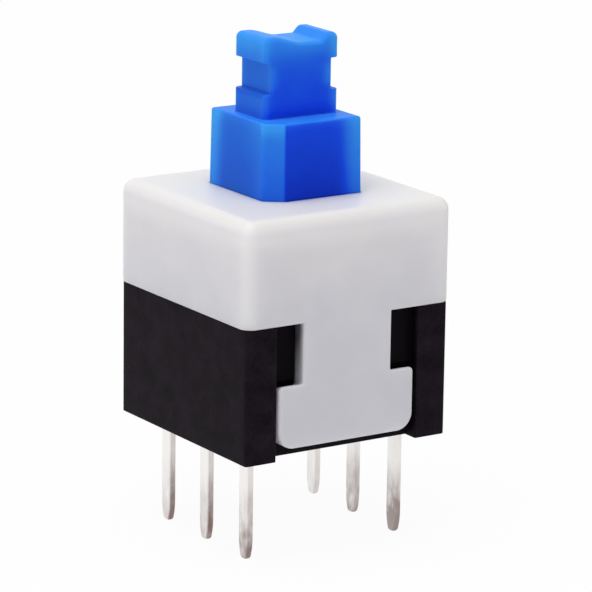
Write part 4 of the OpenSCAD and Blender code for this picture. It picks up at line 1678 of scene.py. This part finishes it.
@dataclass
class Studio:
    """White floor, soft lamps, an even sky and the camera."""

    floor_z: float = -3.7
    floor_half: float = 2500.0
    floor_glow: float = 0.95
    sky: float = 0.52
    azimuth: float = -33.2234
    elevation: float = 14.216
    roll: float = 0.8124
    distance: float = 125.6916
    focal_px: float = 3692.8003
    target: Pair = (0.4303, 4.4532)
    clip_m: Pair = (0.005, 10.0)
    lamp_aim_z: float = 5.0
    lamps: tuple[Lamp, ...] = (
        Lamp("key_lamp", (-0.22, -0.07, 0.97), 0.6, 260.0),
        Lamp("side_lamp", (-0.95, -0.25, 0.25), 0.05, 200.0),
    )

    def _seen(self, kit: NodeKit) -> Wire:
        """1 for rays from the camera and for mirror and glass rays.

        Args:
            kit: adds the nodes.

        Returns:
            The value for the ray at hand.
        """
        camera, mirror, glass = (kit.add("ShaderNodeLightPath", output=f"Is {name} Ray")
                                 for name in ("Camera", "Glossy", "Transmission"))
        return camera.larger(mirror).larger(glass)

    def _floor(self) -> None:
        """A white sheet under the pins that keeps a faint shadow and is clear from below."""
        half, z = self.floor_half, self.floor_z
        corners = np.array([[-half, -half, z], [half, -half, z], [half, half, z], [-half, half, z]]) * MM
        mesh = bpy.data.meshes.new("floor")
        mesh.from_pydata(corners.tolist(), [], [(0, 1, 2, 3)])
        paint = bpy.data.materials.new("white_sheet")
        paint.use_nodes = True
        kit = NodeKit(paint.node_tree)
        matt = kit.add("ShaderNodeBsdfDiffuse", None, {"Color": rgb(0.9, 0.9, 0.9)})
        glow = kit.add("ShaderNodeEmission", None, {"Color": rgb(1, 1, 1), "Strength": 1.0})
        clear = kit.add("ShaderNodeBsdfTransparent")
        under = kit.add("ShaderNodeNewGeometry", output="Backfacing")
        lit = self._seen(kit) * self.floor_glow
        sheet = kit.add("ShaderNodeMixShader", None, {0: lit, 1: matt, 2: glow})
        both_sides = kit.add("ShaderNodeMixShader", None, {0: under, 1: sheet, 2: clear})
        kit.add("ShaderNodeOutputMaterial", None, {"Surface": both_sides})
        mesh.materials.append(paint)
        floor = linked("floor", mesh)

    def _sky(self) -> None:
        """An even sky: white to the camera, dimmer as a light."""
        world = bpy.data.worlds.new("studio_sky")
        world.use_nodes = True
        kit = NodeKit(world.node_tree)
        strength = self.sky + self._seen(kit) * (1.0 - self.sky)
        glow = kit.add("ShaderNodeBackground", None, {"Color": rgb(1, 1, 1), "Strength": strength})
        kit.add("ShaderNodeOutputWorld", None, {"Surface": glow})
        bpy.context.scene.world = world

    def _camera(self) -> None:
        """The photograph's viewpoint: azimuth, elevation and roll about a point of the switch's axis."""
        a, e, r = (math.radians(v) for v in (self.azimuth, self.elevation, self.roll))
        back = Vector((math.sin(a) * math.cos(e), -math.cos(a) * math.cos(e), math.sin(e)))
        flat = Vector((math.cos(a), math.sin(a), 0.0))
        tall = back.cross(flat)
        right = flat * math.cos(r) + tall * math.sin(r)
        up = tall * math.cos(r) - flat * math.sin(r)
        aim = Vector((0, 0, self.target[1])) + right * self.target[0]
        place = Matrix((right, up, back)).transposed().to_4x4()
        place.translation = (aim + back * self.distance) * MM
        data = bpy.data.cameras.new("camera")
        data.sensor_width = SENSOR_MM
        data.lens = self.focal_px * SENSOR_MM / IMAGE_PX
        data.clip_start, data.clip_end = self.clip_m
        camera = linked("camera", data)
        camera.matrix_world = place
        bpy.context.scene.camera = camera

    def build(self) -> None:
        """Sets up the whole studio."""
        bpy.context.scene.view_settings.view_transform = "Standard"
        self._camera()
        self._sky()
        self._floor()
        aim = Vector((0, 0, self.lamp_aim_z * MM))
        for lamp in self.lamps:
            lamp.build(aim)


def main() -> None:
    """Builds the studio and every sub-assembly in order."""
    logging.basicConfig(level=logging.INFO, format="%(message)s")
    Studio().build()
    Base().build()
    Cover().build()
    Plunger().build()
    for row in Row:
        for throw in Throw:
            Terminal(row, throw, *WEAR[row, throw]).build()
    Spring().build()
    LockPin().build()
    Contacts().build()


if __name__ == "__main__":
    main()
